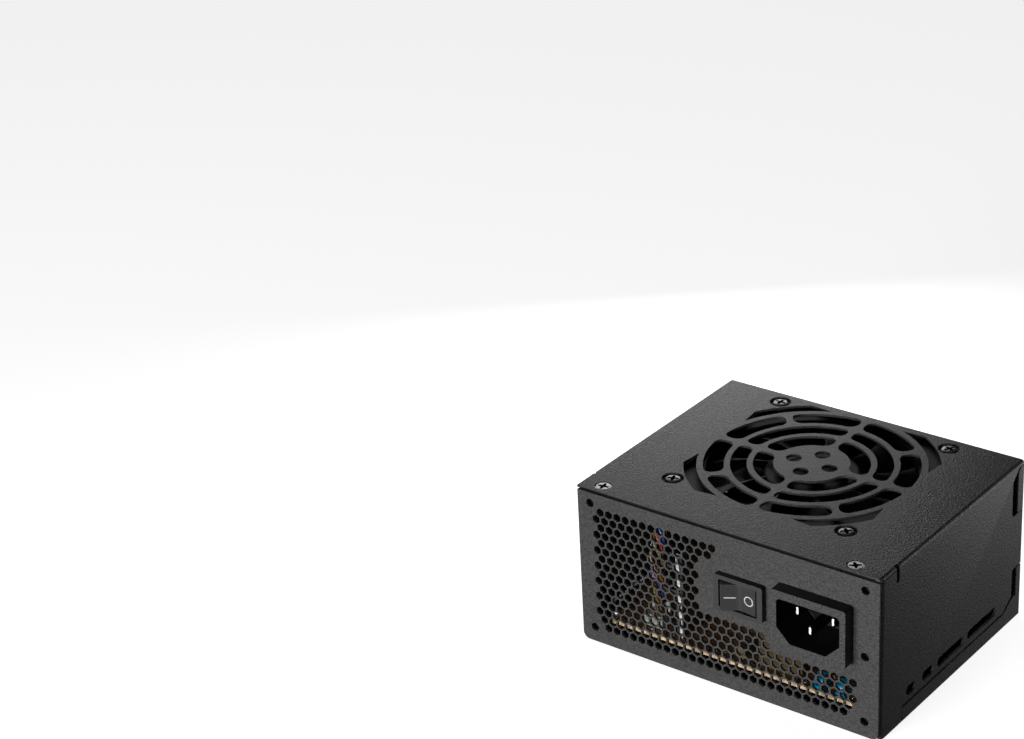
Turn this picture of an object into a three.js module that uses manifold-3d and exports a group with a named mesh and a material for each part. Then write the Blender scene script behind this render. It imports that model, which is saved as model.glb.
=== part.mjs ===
// Compact desktop power supply unit, 125 x 100 x 63.5 mm, as an assembly of separate pieces.
// Millimetres, +Z up. The origin is the centre of the underside. The inlet panel faces -Y,
// the cable side faces +Y, and the fan blows through the top.
import * as THREE from "three";
import { mergeGeometries, mergeVertices } from "three/addons/utils/BufferGeometryUtils.js";
import Module from "manifold-3d";

const wasm = await Module();
wasm.setup();

// ---------------------------------------------------------------- driving dimensions
const WIDTH = 125;
const DEPTH = 100;
const HEIGHT = 63.5;
const SHEET = 1.0; // steel sheet thickness
const GAP = 0.3; // clearance between touching pieces
const BEND = 1.3; // outside radius of the sheet's bends

const HALF_W = WIDTH / 2;
const FRONT = -DEPTH / 2;
const BACK = DEPTH / 2;
const TOP_IN = HEIGHT - SHEET; // underside of the top sheet
const SIDE_IN = HALF_W - SHEET; // inside of the side sheets
const PANEL_BACK = FRONT + SHEET;

// front panel
const PANEL_HALF_W = 61.9;
const PANEL_TOP = TOP_IN - 0.8;
const PANEL_CORNER = 2.6;
const MOUNT_HOLE_R = 1.65;
const MOUNT_HOLE_X = 56.5;
const MOUNT_HOLE_LOW = 6.0;
const MOUNT_HOLE_HIGH = 57.5;
const MOUNT_HOLE_MID = 31.8;
const VENT = { pitchX: 3.655, pitchZ: 3.17, across: 2.95, top: 54.8, oddX: -52.1, evenX: -54.0 };
const VENT_ROWS = [14, 14, 12, 12, 12, 12, 12, 12, 12, 20, 20, 30, 29, 30, 29, 28];

// fan and its grille
const FAN = { x: 0, y: 8, size: 80, depth: 15, bore: 38.3, screw: 35.75, hub: 17.5 };
const FAN_TOP = TOP_IN - SHEET - GAP;
const FAN_BOTTOM = FAN_TOP - FAN.depth;
const BLADES = 9;
const BLADE_TIP = 37.2;
const SPOKE = 2.6; // width of the grille's spokes
const GRILLE_RINGS = [
  { inner: 13.8, outer: 21.1, slots: 4, steps: 6 },
  { inner: 23.3, outer: 29.3, slots: 4, steps: 8 },
  { inner: 31.5, outer: 39.0, slots: 8, steps: 4 },
];
const CRESCENT = { inner: 41.4, outer: 46.0, innerEnd: 38.5, outerEnd: 39.4 };
const DIMPLE = { top: 4.25, floor: 3.6 };
const HUB_HOLE_R = 2.9;
const HUB_HOLE_AT = 7.45;

// rocker switch
const SWITCH = {
  x: 7.4,
  z: 39.8,
  bezelW: 20,
  bezelH: 14.3,
  proud: 2.5,
  bodyW: 18.2,
  bodyH: 13,
  openW: 15.7,
  openH: 11,
};
const ROCKER = {
  radius: 7.6,
  height: 10.4,
  tilt: -12, // degrees, right end pressed in
  pivotDepth: 2.9,
  dish: 19, // degrees between each half of the face and the flat
  surface: 2.0,
  skirt: 3.0,
};
const VALLEY = 1.2; // half width of the soft valley between the rocker's two halves
const AXLE_R = 0.9;
const AXLE_FIT = 0.05; // radial play of the rocker's axle
const TERMINAL_X = [-4, 4];

// mains inlet
const INLET = {
  x: 37.2,
  z: 39.0,
  flangeW: 29.6,
  flangeH: 22.6,
  proud: 5.2,
  bodyW: 27.2,
  bodyH: 20.2,
  wellW: 24.7,
  wellH: 16.5,
  wellDrop: 0.2,
};
const WELL_CHAMFER = 5.3;
const WELL_CORNER = 1.2;
const WELL_BACK = -37.5;
const INLET_BACK = -35.5;
const PIN = {
  width: 2,
  height: 4,
  apart: 7,
  live: 2.4,
  earth: -1.6,
  tipLive: -50.2,
  tipEarth: -53.4,
  end: -33.4,
  taper: 1.2,
  fit: 0.1,
};

// cable outlet in the back wall
const OUTLET = { x: -30, z: 36, width: 27, height: 17, radius: 5 };

// main board
const BOARD = { x: 58, front: -44.5, back: 46, bottom: 6.2, thick: 1.6 };
const BOARD_TOP = BOARD.bottom + BOARD.thick;
const SEAT = BOARD_TOP + GAP; // height that the parts on the board stand at
const STANDOFFS = [[-54, -40], [54, -40], [-54, 42], [54, 42]];
const OUTPUT_CANS = [[-38, 22], [-50, 22], [-38, 34], [-50, 33.5]];

// wires, as points that each wire's centre line runs through
const WIRE_R = 0.9;
const BUNDLE_R = 1.6;
const LINE_ROUTE = [[30.2, -32.6, 41.4], [29.6, -29, 41.6], [25, -26, 41], [16, -26.5, 40.4], [11.6, -28, 40],
  [11.4, -30.2, 39.8]];
const NEUTRAL_ROUTE = [[44.2, -32.6, 41.4], [44.6, -28.6, 40.5], [48.5, -25.5, 34], [51, -25.5, 22],
  [51, -26, 8.2]];
const EARTH_ROUTE = [[37.2, -32.6, 37.4], [36.4, -28.4, 36], [31, -23.5, 30], [28.5, -22, 20],
  [28.5, -22, 8.2]];
const FAN_ROUTE = [[-33, -33.8, 54], [-34.5, -37.5, 48], [-36.5, -39.5, 38], [-36, -39.5, 26],
  [-37, -38.5, 15], [-37, -38, 8.2]];

// ---------------------------------------------------------------- materials
function finish(color, roughness, metalness) {
  return new THREE.MeshStandardMaterial({ color, roughness, metalness });
}
const COAT = finish(0x2b2b2c, 0.6, 0.2);
const PLASTIC = finish(0x151515, 0.5, 0);
const INLET_PLASTIC = finish(0x303030, 0.6, 0);
const ZINC = finish(0xb4b4b2, 0.35, 1);
const ALUMINIUM = finish(0xa9abad, 0.4, 1);
const COPPER = finish(0xb46a3c, 0.35, 1);
const FIBREGLASS = finish(0x9c6f3c, 0.6, 0);
const BLUE = finish(0x1f5fa8, 0.4, 0);
const YELLOW = finish(0xd8b227, 0.5, 0);
const FERRITE = finish(0x37383a, 0.7, 0);
const SLEEVE = finish(0x1c2126, 0.4, 0);
const MYLAR = finish(0x202020, 0.5, 0);
const GLASS_SLEEVE = finish(0xd9d2c2, 0.5, 0);
const GREEN = finish(0x6f8f2a, 0.5, 0);

// ---------------------------------------------------------------- solids from three.js shapes
const AXES = {
  x: new THREE.Matrix4().set(0, 0, 1, 0, 1, 0, 0, 0, 0, 1, 0, 0, 0, 0, 0, 1),
  y: new THREE.Matrix4().set(1, 0, 0, 0, 0, 0, -1, 0, 0, 1, 0, 0, 0, 0, 0, 1),
  z: new THREE.Matrix4(),
};

// a closed three.js geometry as a solid that can be joined and cut
function solid(geometry) {
  const bare = geometry.index ? geometry.toNonIndexed() : geometry.clone();
  bare.deleteAttribute("normal");
  bare.deleteAttribute("uv");
  const merged = mergeVertices(bare, 1e-4);
  return new wasm.Manifold(new wasm.Mesh({
    numProp: 3,
    vertProperties: new Float32Array(merged.attributes.position.array),
    triVerts: new Uint32Array(merged.index.array),
  }));
}

// an outline pushed from low to high along an axis; on axis y the outline's own axes are x and z,
// on axis x they are y and z
function prismGeometry(shape, axis, low, high, curveSegments = 6) {
  const settings = { depth: high - low, bevelEnabled: false, curveSegments };
  const geometry = new THREE.ExtrudeGeometry(shape, settings);
  geometry.applyMatrix4(AXES[axis]);
  if (axis === "x") {
    geometry.translate(low, 0, 0);
  } else if (axis === "y") {
    geometry.translate(0, high, 0);
  } else {
    geometry.translate(0, 0, low);
  }
  return geometry;
}

function prism(shape, axis, low, high, curveSegments) {
  return solid(prismGeometry(shape, axis, low, high, curveSegments));
}

// several separate outlines pushed together, as one solid
function prisms(shapes, axis, low, high, curveSegments) {
  return solid(mergeGeometries(shapes.map((shape) => prismGeometry(shape, axis, low, high, curveSegments))));
}

function block(x0, x1, y0, y1, z0, z1) {
  const geometry = new THREE.BoxGeometry(x1 - x0, y1 - y0, z1 - z0);
  geometry.translate((x0 + x1) / 2, (y0 + y1) / 2, (z0 + z1) / 2);
  return solid(geometry);
}

// a polygon from a list of corners
function outline(points) {
  return new THREE.Shape(points.map(([x, y]) => new THREE.Vector2(x, y)));
}

function circle(x, y, radius, sides) {
  const points = [];
  for (let i = 0; i < sides; i += 1) {
    const angle = ((i + 0.5) * 2 * Math.PI) / sides;
    points.push([x + radius * Math.cos(angle), y + radius * Math.sin(angle)]);
  }
  return outline(points);
}

function roundedRect(x, y, width, height, radius, steps = 4) {
  const points = [];
  const corners = [[1, 1, 0], [-1, 1, 90], [-1, -1, 180], [1, -1, 270]];
  for (const [sx, sy, start] of corners) {
    for (let i = 0; i <= steps; i += 1) {
      const angle = THREE.MathUtils.degToRad(start + (90 * i) / steps);
      const cx = x + sx * (width / 2 - radius);
      const cy = y + sy * (height / 2 - radius);
      points.push([cx + radius * Math.cos(angle), cy + radius * Math.sin(angle)]);
    }
  }
  return outline(points);
}

// an upright turned piece from its half profile of radius and height
function turned(profile, sides, x = 0, y = 0) {
  const geometry = new THREE.LatheGeometry(profile.map(([r, z]) => new THREE.Vector2(r, z)), sides);
  geometry.rotateX(Math.PI / 2);
  geometry.translate(x, y, 0);
  return solid(geometry);
}

function disc(x, y, radius, low, high, sides = 24) {
  return prism(circle(x, y, radius, sides), "z", low, high);
}

function join(...solids) {
  return solids.reduce((sum, next) => sum.add(next));
}

function cut(base, ...tools) {
  return tools.reduce((left, tool) => left.subtract(tool), base);
}

const unit = new THREE.Group();

function place(name, body, material) {
  const { vertProperties, triVerts } = body.getMesh();
  const geometry = new THREE.BufferGeometry();
  geometry.setAttribute("position", new THREE.BufferAttribute(new Float32Array(vertProperties), 3));
  geometry.setIndex(new THREE.BufferAttribute(new Uint32Array(triVerts), 1));
  geometry.computeVertexNormals();
  const mesh = new THREE.Mesh(geometry, material);
  mesh.name = name;
  unit.add(mesh);
}

// ---------------------------------------------------------------- top cover
// One slot of the grille: a stretch of ring between two spokes, with rounded ends.
function ringSlot(ring, index) {
  const step = (2 * Math.PI) / ring.slots;
  const start = index * step;
  const radius = (ring.outer - ring.inner) * 0.42;
  const end = (r) => Math.asin(SPOKE / 2 / r);
  const at = (r, along) => {
    const a0 = start + end(r);
    const a1 = start + step - end(r);
    const angle = along >= 0 ? a0 + along / r : a1 + along / r;
    return [FAN.x + r * Math.cos(angle), FAN.y + r * Math.sin(angle)];
  };
  const points = [];
  const corner = (r, side, from, to) => {
    for (let i = 0; i <= 2; i += 1) {
      const turn = THREE.MathUtils.degToRad(from + ((to - from) * i) / 2);
      const inset = radius * (1 - Math.cos(turn));
      points.push(at(r + radius * Math.sin(turn), side * Math.max(inset, 1e-6)));
    }
  };
  const arc = (r) => {
    const a0 = start + end(r) + radius / r;
    const a1 = start + step - end(r) - radius / r;
    for (let i = 1; i < ring.steps; i += 1) {
      const angle = a0 + ((a1 - a0) * i) / ring.steps;
      points.push([FAN.x + r * Math.cos(angle), FAN.y + r * Math.sin(angle)]);
    }
  };
  corner(ring.inner + radius, 1, -90, 0);
  const inner = points.splice(0);
  corner(ring.inner + radius, -1, -90, 0);
  const innerEnd = points.splice(0);
  corner(ring.outer - radius, -1, 0, 90);
  const outerEnd = points.splice(0);
  corner(ring.outer - radius, 1, 0, 90);
  const outer = points.splice(0);
  arc(ring.inner);
  const innerArc = points.splice(0);
  arc(ring.outer);
  const outerArc = points.splice(0);
  return outline([...inner.reverse(), ...innerArc, ...innerEnd, ...outerEnd, ...outerArc.reverse(),
    ...outer.reverse()]);
}

// The narrow opening outside the rings at each corner, cut off square at both ends.
function crescent(index) {
  const points = [];
  const steps = 4;
  const arcs = [[CRESCENT.outer, CRESCENT.outerEnd, 1], [CRESCENT.inner, CRESCENT.innerEnd, -1]];
  for (const [r, end, direction] of arcs) {
    const low = Math.acos(end / r);
    const high = Math.PI / 2 - low;
    for (let i = 0; i <= steps; i += 1) {
      const share = direction > 0 ? i / steps : 1 - i / steps;
      const angle = low + (high - low) * share + (index * Math.PI) / 2;
      points.push([FAN.x + r * Math.cos(angle), FAN.y + r * Math.sin(angle)]);
    }
  }
  return outline(points);
}

const FAN_CORNERS = [[-1, -1], [1, -1], [1, 1], [-1, 1]].map(([sx, sy]) => [
  FAN.x + sx * FAN.screw,
  FAN.y + sy * FAN.screw,
]);
const COVER_SCREWS = [[-53.3, -45.9], [50.2, -45.9]];

// Both sides seen along X: the tray's flange and the back wall's tabs take the cut-outs.
const FLANGE_START = -35;
// the cooling slots low in the right side, from y to y
const SIDE_SLOTS = [[-32.3, -25.8], [-21.3, -13], [-10.7, 8.2], [10.7, 31.8]];
const SIDE_SLOT_Z = 10.3;
const SIDE_SLOT_H = 4;
const SIDE_SLOT_CORNER = 1.9;

function coverCutters() {
  const reach = HALF_W + 5;
  const seam = outline([[FLANGE_START - GAP, -1], [BACK + 1, -1], [BACK + 1, 21.5], [44.6, 21.5],
    [43.5, 20.4], [43.5, 10.5], [37.0, 6.1], [FLANGE_START - GAP, 6.1]]);
  const upperNotch = outline([[42, 45], [42.6, 43.9], [43.8, 43.5], [BACK + 1, 43.5], [BACK + 1, 62.2],
    [46.6, 62.2], [42, 57.9]]);
  const relief = outline([[-39.9, 57.9], [-39.6, 57.3], [-38.9, 57.0], [-38.2, 57.3], [-37.9, 57.9],
    [-37.9, HEIGHT + 1], [-39.9, HEIGHT + 1]]);
  return [
    prism(seam, "x", -reach, reach),
    prism(upperNotch, "x", -reach, reach),
    prism(relief, "x", SIDE_IN - 0.3, reach),
    prism(relief, "x", -reach, -SIDE_IN + 0.3),
    block(-reach, reach, FRONT - 1, FRONT + BEND + GAP + SHEET, -1, TOP_IN - 0.4),
    block(-reach, reach, FRONT - 1, -39, TOP_IN - 0.4, TOP_IN),
  ];
}

function topCover() {
  const section = new THREE.Shape();
  section.moveTo(-HALF_W, 0);
  section.lineTo(-SIDE_IN, 0);
  section.lineTo(-SIDE_IN, TOP_IN);
  section.lineTo(SIDE_IN, TOP_IN);
  section.lineTo(SIDE_IN, 0);
  section.lineTo(HALF_W, 0);
  section.lineTo(HALF_W, HEIGHT - BEND);
  section.absarc(HALF_W - BEND, HEIGHT - BEND, BEND, 0, Math.PI / 2);
  section.lineTo(-HALF_W + BEND, HEIGHT);
  section.absarc(-HALF_W + BEND, HEIGHT - BEND, BEND, Math.PI / 2, Math.PI);
  const hood = prism(section, "y", FRONT, BACK, 4);
  const slots = SIDE_SLOTS.map(([y0, y1]) => roundedRect(
    (y0 + y1) / 2, SIDE_SLOT_Z, y1 - y0, SIDE_SLOT_H, SIDE_SLOT_CORNER, 2));
  const grille = [];
  for (const ring of GRILLE_RINGS) {
    for (let i = 0; i < ring.slots; i += 1) {
      grille.push(ringSlot(ring, i));
    }
  }
  for (let i = 0; i < 4; i += 1) {
    grille.push(crescent(i));
    const angle = (i * Math.PI) / 2;
    const x = FAN.x + HUB_HOLE_AT * Math.cos(angle);
    const y = FAN.y + HUB_HOLE_AT * Math.sin(angle);
    grille.push(circle(x, y, HUB_HOLE_R, 12));
  }
  const dimpleFloors = FAN_CORNERS.map(([x, y]) => disc(x, y, DIMPLE.top, TOP_IN - SHEET, TOP_IN + 0.1, 18));
  const dimples = FAN_CORNERS.map(([x, y]) => turned(
    [[0, TOP_IN], [DIMPLE.floor, TOP_IN], [DIMPLE.top, HEIGHT], [DIMPLE.top, HEIGHT + 1], [0, HEIGHT + 1]],
    18, x, y));
  const fanHoles = FAN_CORNERS.map(([x, y]) => circle(x, y, 2.1, 10));
  const sinks = COVER_SCREWS.map(([x, y]) => turned(
    [[0, TOP_IN - 1], [1.8, TOP_IN - 1], [1.8, TOP_IN + 0.1], [3.1, HEIGHT + 0.1], [0, HEIGHT + 0.1]],
    14, x, y));
  const edge = FRONT + BEND + GAP + SHEET;
  const lips = [-1, 1].map((side) => {
    const lip = new THREE.Shape();
    lip.moveTo(HALF_W, edge + 0.1);
    lip.absarc(HALF_W - BEND, edge, BEND, 0, -Math.PI / 2, true);
    lip.lineTo(58.8, edge - BEND);
    lip.lineTo(58.8, edge - BEND + SHEET);
    lip.lineTo(SIDE_IN - 0.2, edge - BEND + SHEET);
    lip.lineTo(SIDE_IN, edge + 0.1);
    const bent = prism(lip, "z", 0, TOP_IN - 0.4, 4);
    return side > 0 ? bent : bent.mirror([1, 0, 0]);
  });
  const cover = cut(hood, ...coverCutters(), prisms(slots, "x", 0, HALF_W + 5),
    prisms(grille, "z", TOP_IN - 3, HEIGHT + 1));
  return cut(join(cover, ...dimpleFloors, ...lips), ...dimples, ...sinks,
    prisms(fanHoles, "z", TOP_IN - 3, HEIGHT + 1));
}

// ---------------------------------------------------------------- front panel
function hexagon(x, z) {
  const points = [];
  const radius = VENT.across / Math.sqrt(3);
  for (let i = 0; i < 6; i += 1) {
    const angle = THREE.MathUtils.degToRad(30 + 60 * i);
    points.push([x + radius * Math.cos(angle), z + radius * Math.sin(angle)]);
  }
  return outline(points);
}

function ventHoles() {
  const holes = [];
  VENT_ROWS.forEach((count, row) => {
    const last = row === VENT_ROWS.length - 1;
    const start = (row % 2 === 0 ? VENT.oddX : VENT.evenX) + (last ? VENT.pitchX : 0);
    for (let i = 0; i < count; i += 1) {
      holes.push(hexagon(start + i * VENT.pitchX, VENT.top - row * VENT.pitchZ));
    }
  });
  return holes;
}

function frontPanel() {
  const plate = roundedRect(0, PANEL_TOP / 2, PANEL_HALF_W * 2, PANEL_TOP, PANEL_CORNER, 4);
  const screwHoles = [
    [-MOUNT_HOLE_X, MOUNT_HOLE_LOW], [MOUNT_HOLE_X, MOUNT_HOLE_LOW], [-MOUNT_HOLE_X, MOUNT_HOLE_HIGH],
    [MOUNT_HOLE_X, MOUNT_HOLE_HIGH], [MOUNT_HOLE_X, MOUNT_HOLE_MID],
  ];
  const openings = [
    ...ventHoles(),
    ...screwHoles.map(([x, z]) => circle(x, z, MOUNT_HOLE_R, 14)),
    roundedRect(SWITCH.x, SWITCH.z, SWITCH.bodyW + 0.6, SWITCH.bodyH + 0.6, 0.8, 2),
    roundedRect(INLET.x, INLET.z, INLET.bodyW + 0.6, INLET.bodyH + 0.6, 1.0, 2),
  ];
  const squareTop = block(-PANEL_HALF_W, PANEL_HALF_W, FRONT, PANEL_BACK, PANEL_TOP / 2, PANEL_TOP);
  const panel = join(prism(plate, "y", FRONT, PANEL_BACK), squareTop);
  return cut(panel, prisms(openings, "y", FRONT - 1, PANEL_BACK + 1));
}

// ---------------------------------------------------------------- base tray with the back wall
function baseTray() {
  const trayFront = PANEL_BACK + GAP;
  const floorPlate = join(
    block(-SIDE_IN + GAP, SIDE_IN - GAP, trayFront + BEND, BACK, 0, SHEET),
    block(-58.4, 58.4, trayFront, trayFront + 5, 0, SHEET),
    block(-HALF_W, HALF_W, FLANGE_START, BACK, 0, SHEET),
  );
  const flange = outline([[FLANGE_START, 0], [BACK, 0], [BACK, 9.3], [44.4, 9.3], [37.6, 5.4],
    [FLANGE_START, 5.4]]);
  const lowerTab = outline([[47.2, 9.2], [BACK, 9.2], [BACK, 21], [47.2, 21]]);
  const upperTab = outline([[46.2, 43.8], [BACK, 43.8], [BACK, 61.9], [48, 61.9], [46.2, 60.3]]);
  const sides = [flange, lowerTab, upperTab].flatMap((shape) => [
    prism(shape, "x", SIDE_IN, HALF_W),
    prism(shape, "x", -HALF_W, -SIDE_IN),
  ]);
  const wallTop = TOP_IN - GAP;
  const wall = join(
    block(-SIDE_IN + GAP, SIDE_IN - GAP, BACK - SHEET, BACK, 0, wallTop),
    block(-HALF_W, HALF_W, BACK - SHEET, BACK, 0, 21),
    block(-HALF_W, HALF_W, BACK - SHEET, BACK, 43.8, 61.9),
  );
  const slots = [];
  for (let i = 0; i < 9; i += 1) {
    slots.push(roundedRect(6 + i * 5.4, 34, 2.6, 22, 1.25, 2));
  }
  const openings = [
    ...slots,
    roundedRect(OUTLET.x, OUTLET.z, OUTLET.width, OUTLET.height, OUTLET.radius, 4),
  ];
  const screwHoles = STANDOFFS.map(([x, y]) => circle(x, y, 1.7, 12));
  return cut(join(floorPlate, ...sides, wall), prisms(openings, "y", BACK - 3, BACK + 1),
    prisms(screwHoles, "z", -1, SHEET + 1));
}

// ---------------------------------------------------------------- screws and brackets
function crossRecess(x, y, top, depth, reach) {
  const bar = 0.9;
  return join(
    block(x - reach, x + reach, y - bar / 2, y + bar / 2, top - depth, top + 1),
    block(x - bar / 2, x + bar / 2, y - reach, y + reach, top - depth, top + 1),
  );
}

function fanScrew(x, y) {
  const seat = TOP_IN + 0.05;
  const head = 0.95;
  const body = turned([[0, seat - 9], [1.5, seat - 9], [1.5, seat], [3.0, seat], [3.0, seat + 0.3],
    [2.5, seat + 0.8], [1.8, seat + head], [0, seat + head]], 14, x, y);
  return cut(body, crossRecess(x, y, seat + head, 0.8, 1.7));
}

function coverScrew(x, y) {
  const head = HEIGHT - 0.1;
  const profile = [[0, TOP_IN - 5], [1.3, TOP_IN - 5], [1.3, TOP_IN - 0.2], [2.8, head], [0, head]];
  const body = turned(profile, 14, x, y);
  return cut(body, crossRecess(x, y, head, 0.8, 1.6));
}

// a small angle bracket behind the panel that the cover screw bites into
function coverBracket(x, y) {
  const top = TOP_IN - 0.6;
  const foot = block(x - 5, x + 5, PANEL_BACK + 0.1, PANEL_BACK + 0.1 + SHEET, top - 3.2, top);
  const shelf = block(x - 5, x + 5, PANEL_BACK + 0.1, y + 5, top - SHEET, top);
  return cut(join(foot, shelf), prism(circle(x, y, 1.6, 12), "z", top - 4, top + 1));
}

// ---------------------------------------------------------------- fan
function fanFrame() {
  const square = roundedRect(FAN.x, FAN.y, FAN.size, FAN.size, 4, 3);
  const cornerHoles = FAN_CORNERS.map(([x, y]) => circle(x, y, 2.1, 10));
  const shell = cut(prism(square, "z", FAN_BOTTOM, FAN_TOP),
    disc(FAN.x, FAN.y, FAN.bore, FAN_BOTTOM - 1, FAN_TOP + 1, 40),
    prisms(cornerHoles, "z", FAN_BOTTOM - 1, FAN_TOP + 1));
  const motorPlate = disc(FAN.x, FAN.y, 17, FAN_BOTTOM, FAN_BOTTOM + 1.6, 24);
  const strut = block(FAN.x - 1.6, FAN.x + 1.6, FAN.y + 14, FAN.y + FAN.bore + 0.6,
    FAN_BOTTOM, FAN_BOTTOM + 2.4);
  const struts = [25, 115, 205, 295].map((angle) => strut
    .translate([-FAN.x, -FAN.y, 0])
    .rotate([0, 0, angle])
    .translate([FAN.x, FAN.y, 0]));
  const boss = disc(FAN.x, FAN.y, 4.6, FAN_BOTTOM, FAN_BOTTOM + 4, 14);
  const bore = disc(FAN.x, FAN.y, 3.3, FAN_BOTTOM + 0.8, FAN_BOTTOM + 5, 14);
  return cut(join(shell, motorPlate, boss, ...struts), bore);
}

// One blade: thin curved sections stacked outward from the hub, twisted towards the tip.
function blade(angle) {
  const stations = 4;
  const chordSteps = 3;
  const low = FAN_BOTTOM + 3.2;
  const high = FAN_TOP - 0.9;
  const loops = [];
  for (let s = 0; s < stations; s += 1) {
    const share = s / (stations - 1);
    const radius = FAN.hub - 0.8 + (BLADE_TIP - FAN.hub + 0.8) * share;
    const sweep = THREE.MathUtils.degToRad(angle + 9 * share * share);
    const span = THREE.MathUtils.degToRad(27 + 7 * share);
    const rise = (high - low) * (1 - 0.12 * share);
    const thickness = 1.5 - 0.5 * share;
    const loop = [];
    for (let side = 0; side < 2; side += 1) {
      for (let i = 0; i <= chordSteps; i += 1) {
        const along = side === 0 ? i / chordSteps : 1 - i / chordSteps;
        const camber = Math.sin(Math.PI * along) * 1.3;
        const half = thickness * (0.35 + 0.65 * Math.sin(Math.PI * along)) * 0.5;
        const turn = sweep + span * (along - 0.5);
        const z = low + rise * along + (side === 0 ? camber - half : camber + half);
        loop.push([FAN.x + radius * Math.cos(turn), FAN.y + radius * Math.sin(turn), z]);
      }
    }
    loops.push(loop);
  }
  const count = loops[0].length;
  const positions = loops.flat(2);
  const index = [];
  for (let s = 0; s + 1 < stations; s += 1) {
    for (let i = 0; i < count; i += 1) {
      const a = s * count + i;
      const b = s * count + ((i + 1) % count);
      index.push(a, b, b + count, a, b + count, a + count);
    }
  }
  for (let i = 0; i < chordSteps; i += 1) {
    const j = count - 1 - i;
    const outer = (stations - 1) * count;
    index.push(i, j, i + 1, i + 1, j, j - 1);
    index.push(outer + i, outer + i + 1, outer + j, outer + i + 1, outer + j - 1, outer + j);
  }
  const geometry = new THREE.BufferGeometry();
  geometry.setAttribute("position", new THREE.BufferAttribute(new Float32Array(positions), 3));
  geometry.setIndex(index);
  return solid(geometry);
}

const CUP_TOP = FAN_TOP - 0.8;
const CUP_BOTTOM = FAN_BOTTOM + 2.6;

function fanImpeller() {
  const cup = turned([[0, CUP_TOP - 1.4], [FAN.hub - 1.6, CUP_TOP - 1.4], [FAN.hub - 1.6, CUP_BOTTOM],
    [FAN.hub, CUP_BOTTOM], [FAN.hub, CUP_TOP - 1.2], [FAN.hub - 1.2, CUP_TOP], [0, CUP_TOP]],
    30, FAN.x, FAN.y);
  const stem = disc(FAN.x, FAN.y, 3.2, CUP_TOP - 2.8, CUP_TOP - 1, 16);
  const shaftHole = disc(FAN.x, FAN.y, 1.6, CUP_TOP - 4, CUP_TOP - 1.0, 12);
  const blades = [];
  for (let i = 0; i < BLADES; i += 1) {
    blades.push(blade(14 + (360 / BLADES) * i));
  }
  return cut(join(cup, stem, ...blades), shaftHole);
}

function ringPiece(outer, inner, low, high, sides) {
  const profile = [[inner, low], [outer, low], [outer, high], [inner, high], [inner, low]];
  return turned(profile, sides, FAN.x, FAN.y);
}

function fanStator() {
  const core = ringPiece(7.5, 3.7, FAN_BOTTOM + 4.3, FAN_BOTTOM + 9.6, 12);
  const arm = block(FAN.x - 2.2, FAN.x + 2.2, FAN.y + 6.5, FAN.y + 12, FAN_BOTTOM + 4.8, FAN_BOTTOM + 9.1);
  const shoe = block(FAN.x - 5, FAN.x + 5, FAN.y + 11.5, FAN.y + 12.4, FAN_BOTTOM + 4.3, FAN_BOTTOM + 9.6);
  const poles = [0, 90, 180, 270].map((angle) => arm.add(shoe)
    .translate([-FAN.x, -FAN.y, 0])
    .rotate([0, 0, angle])
    .translate([FAN.x, FAN.y, 0]));
  return join(core, ...poles);
}

// ---------------------------------------------------------------- rocker switch
const BEZEL_FRONT = FRONT - SWITCH.proud;
const PIVOT_Y = BEZEL_FRONT + ROCKER.pivotDepth;
const SWITCH_FLOOR = PIVOT_Y + 5;

function switchHousing() {
  const face = (width, height, corner, steps) => roundedRect(
    SWITCH.x, SWITCH.z, width, height, corner, steps);
  const bezel = prism(face(SWITCH.bezelW, SWITCH.bezelH, 1.0, 3), "y", BEZEL_FRONT, FRONT - 0.1);
  const body = prism(face(SWITCH.bodyW, SWITCH.bodyH, 0.6, 2), "y", FRONT - 0.2, SWITCH_FLOOR + 6);
  const well = prism(face(SWITCH.openW, SWITCH.openH, 0.5, 2), "y", BEZEL_FRONT - 1, SWITCH_FLOOR);
  const axleHole = prism(circle(SWITCH.x, PIVOT_Y, AXLE_R + AXLE_FIT, 12), "z", SWITCH.z - 9, SWITCH.z + 9);
  const legs = TERMINAL_X.map((dx) => block(SWITCH.x + dx - 2.6, SWITCH.x + dx + 2.6, SWITCH_FLOOR + 1,
    SWITCH_FLOOR + 8, SWITCH.z - 0.6, SWITCH.z + 0.6));
  return cut(join(bezel, body), well, axleHole, ...legs);
}

// The rocker's section seen from above, tilted so that its right end is pressed in. Everything
// stays inside a circle about the pivot, so it swings clear of the housing.
function switchRocker() {
  const slope = Math.tan(THREE.MathUtils.degToRad(ROCKER.dish));
  const b = ROCKER.surface * slope;
  const a = 1 + slope * slope;
  const c = ROCKER.surface * ROCKER.surface - ROCKER.radius * ROCKER.radius;
  const edge = (-b + Math.sqrt(b * b - a * c)) / a;
  const top = Math.atan2(ROCKER.surface + slope * edge, edge);
  const bottom = -Math.asin(ROCKER.skirt / ROCKER.radius);
  const side = [];
  const steps = 6;
  for (let i = 0; i <= steps; i += 1) {
    const angle = bottom + ((top - bottom) * i) / steps;
    side.push([ROCKER.radius * Math.cos(angle), ROCKER.radius * Math.sin(angle)]);
  }
  const section = [
    ...side,
    [VALLEY, ROCKER.surface + slope * VALLEY],
    [0, ROCKER.surface + slope * VALLEY * 0.4],
    [-VALLEY, ROCKER.surface + slope * VALLEY],
    ...side.map(([t, n]) => [-t, n]).reverse(),
  ];
  const turn = THREE.MathUtils.degToRad(ROCKER.tilt);
  const points = section.map(([t, n]) => {
    const across = t * Math.cos(turn) - n * Math.sin(turn);
    const out = n * Math.cos(turn) + t * Math.sin(turn);
    return [SWITCH.x + across, PIVOT_Y - out];
  });
  const low = SWITCH.z - ROCKER.height / 2;
  const high = SWITCH.z + ROCKER.height / 2;
  const axleHole = prism(circle(SWITCH.x, PIVOT_Y, AXLE_R + AXLE_FIT, 12), "z", low - 1, high + 1);
  return cut(prism(outline(points.reverse()), "z", low, high), axleHole);
}

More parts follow.
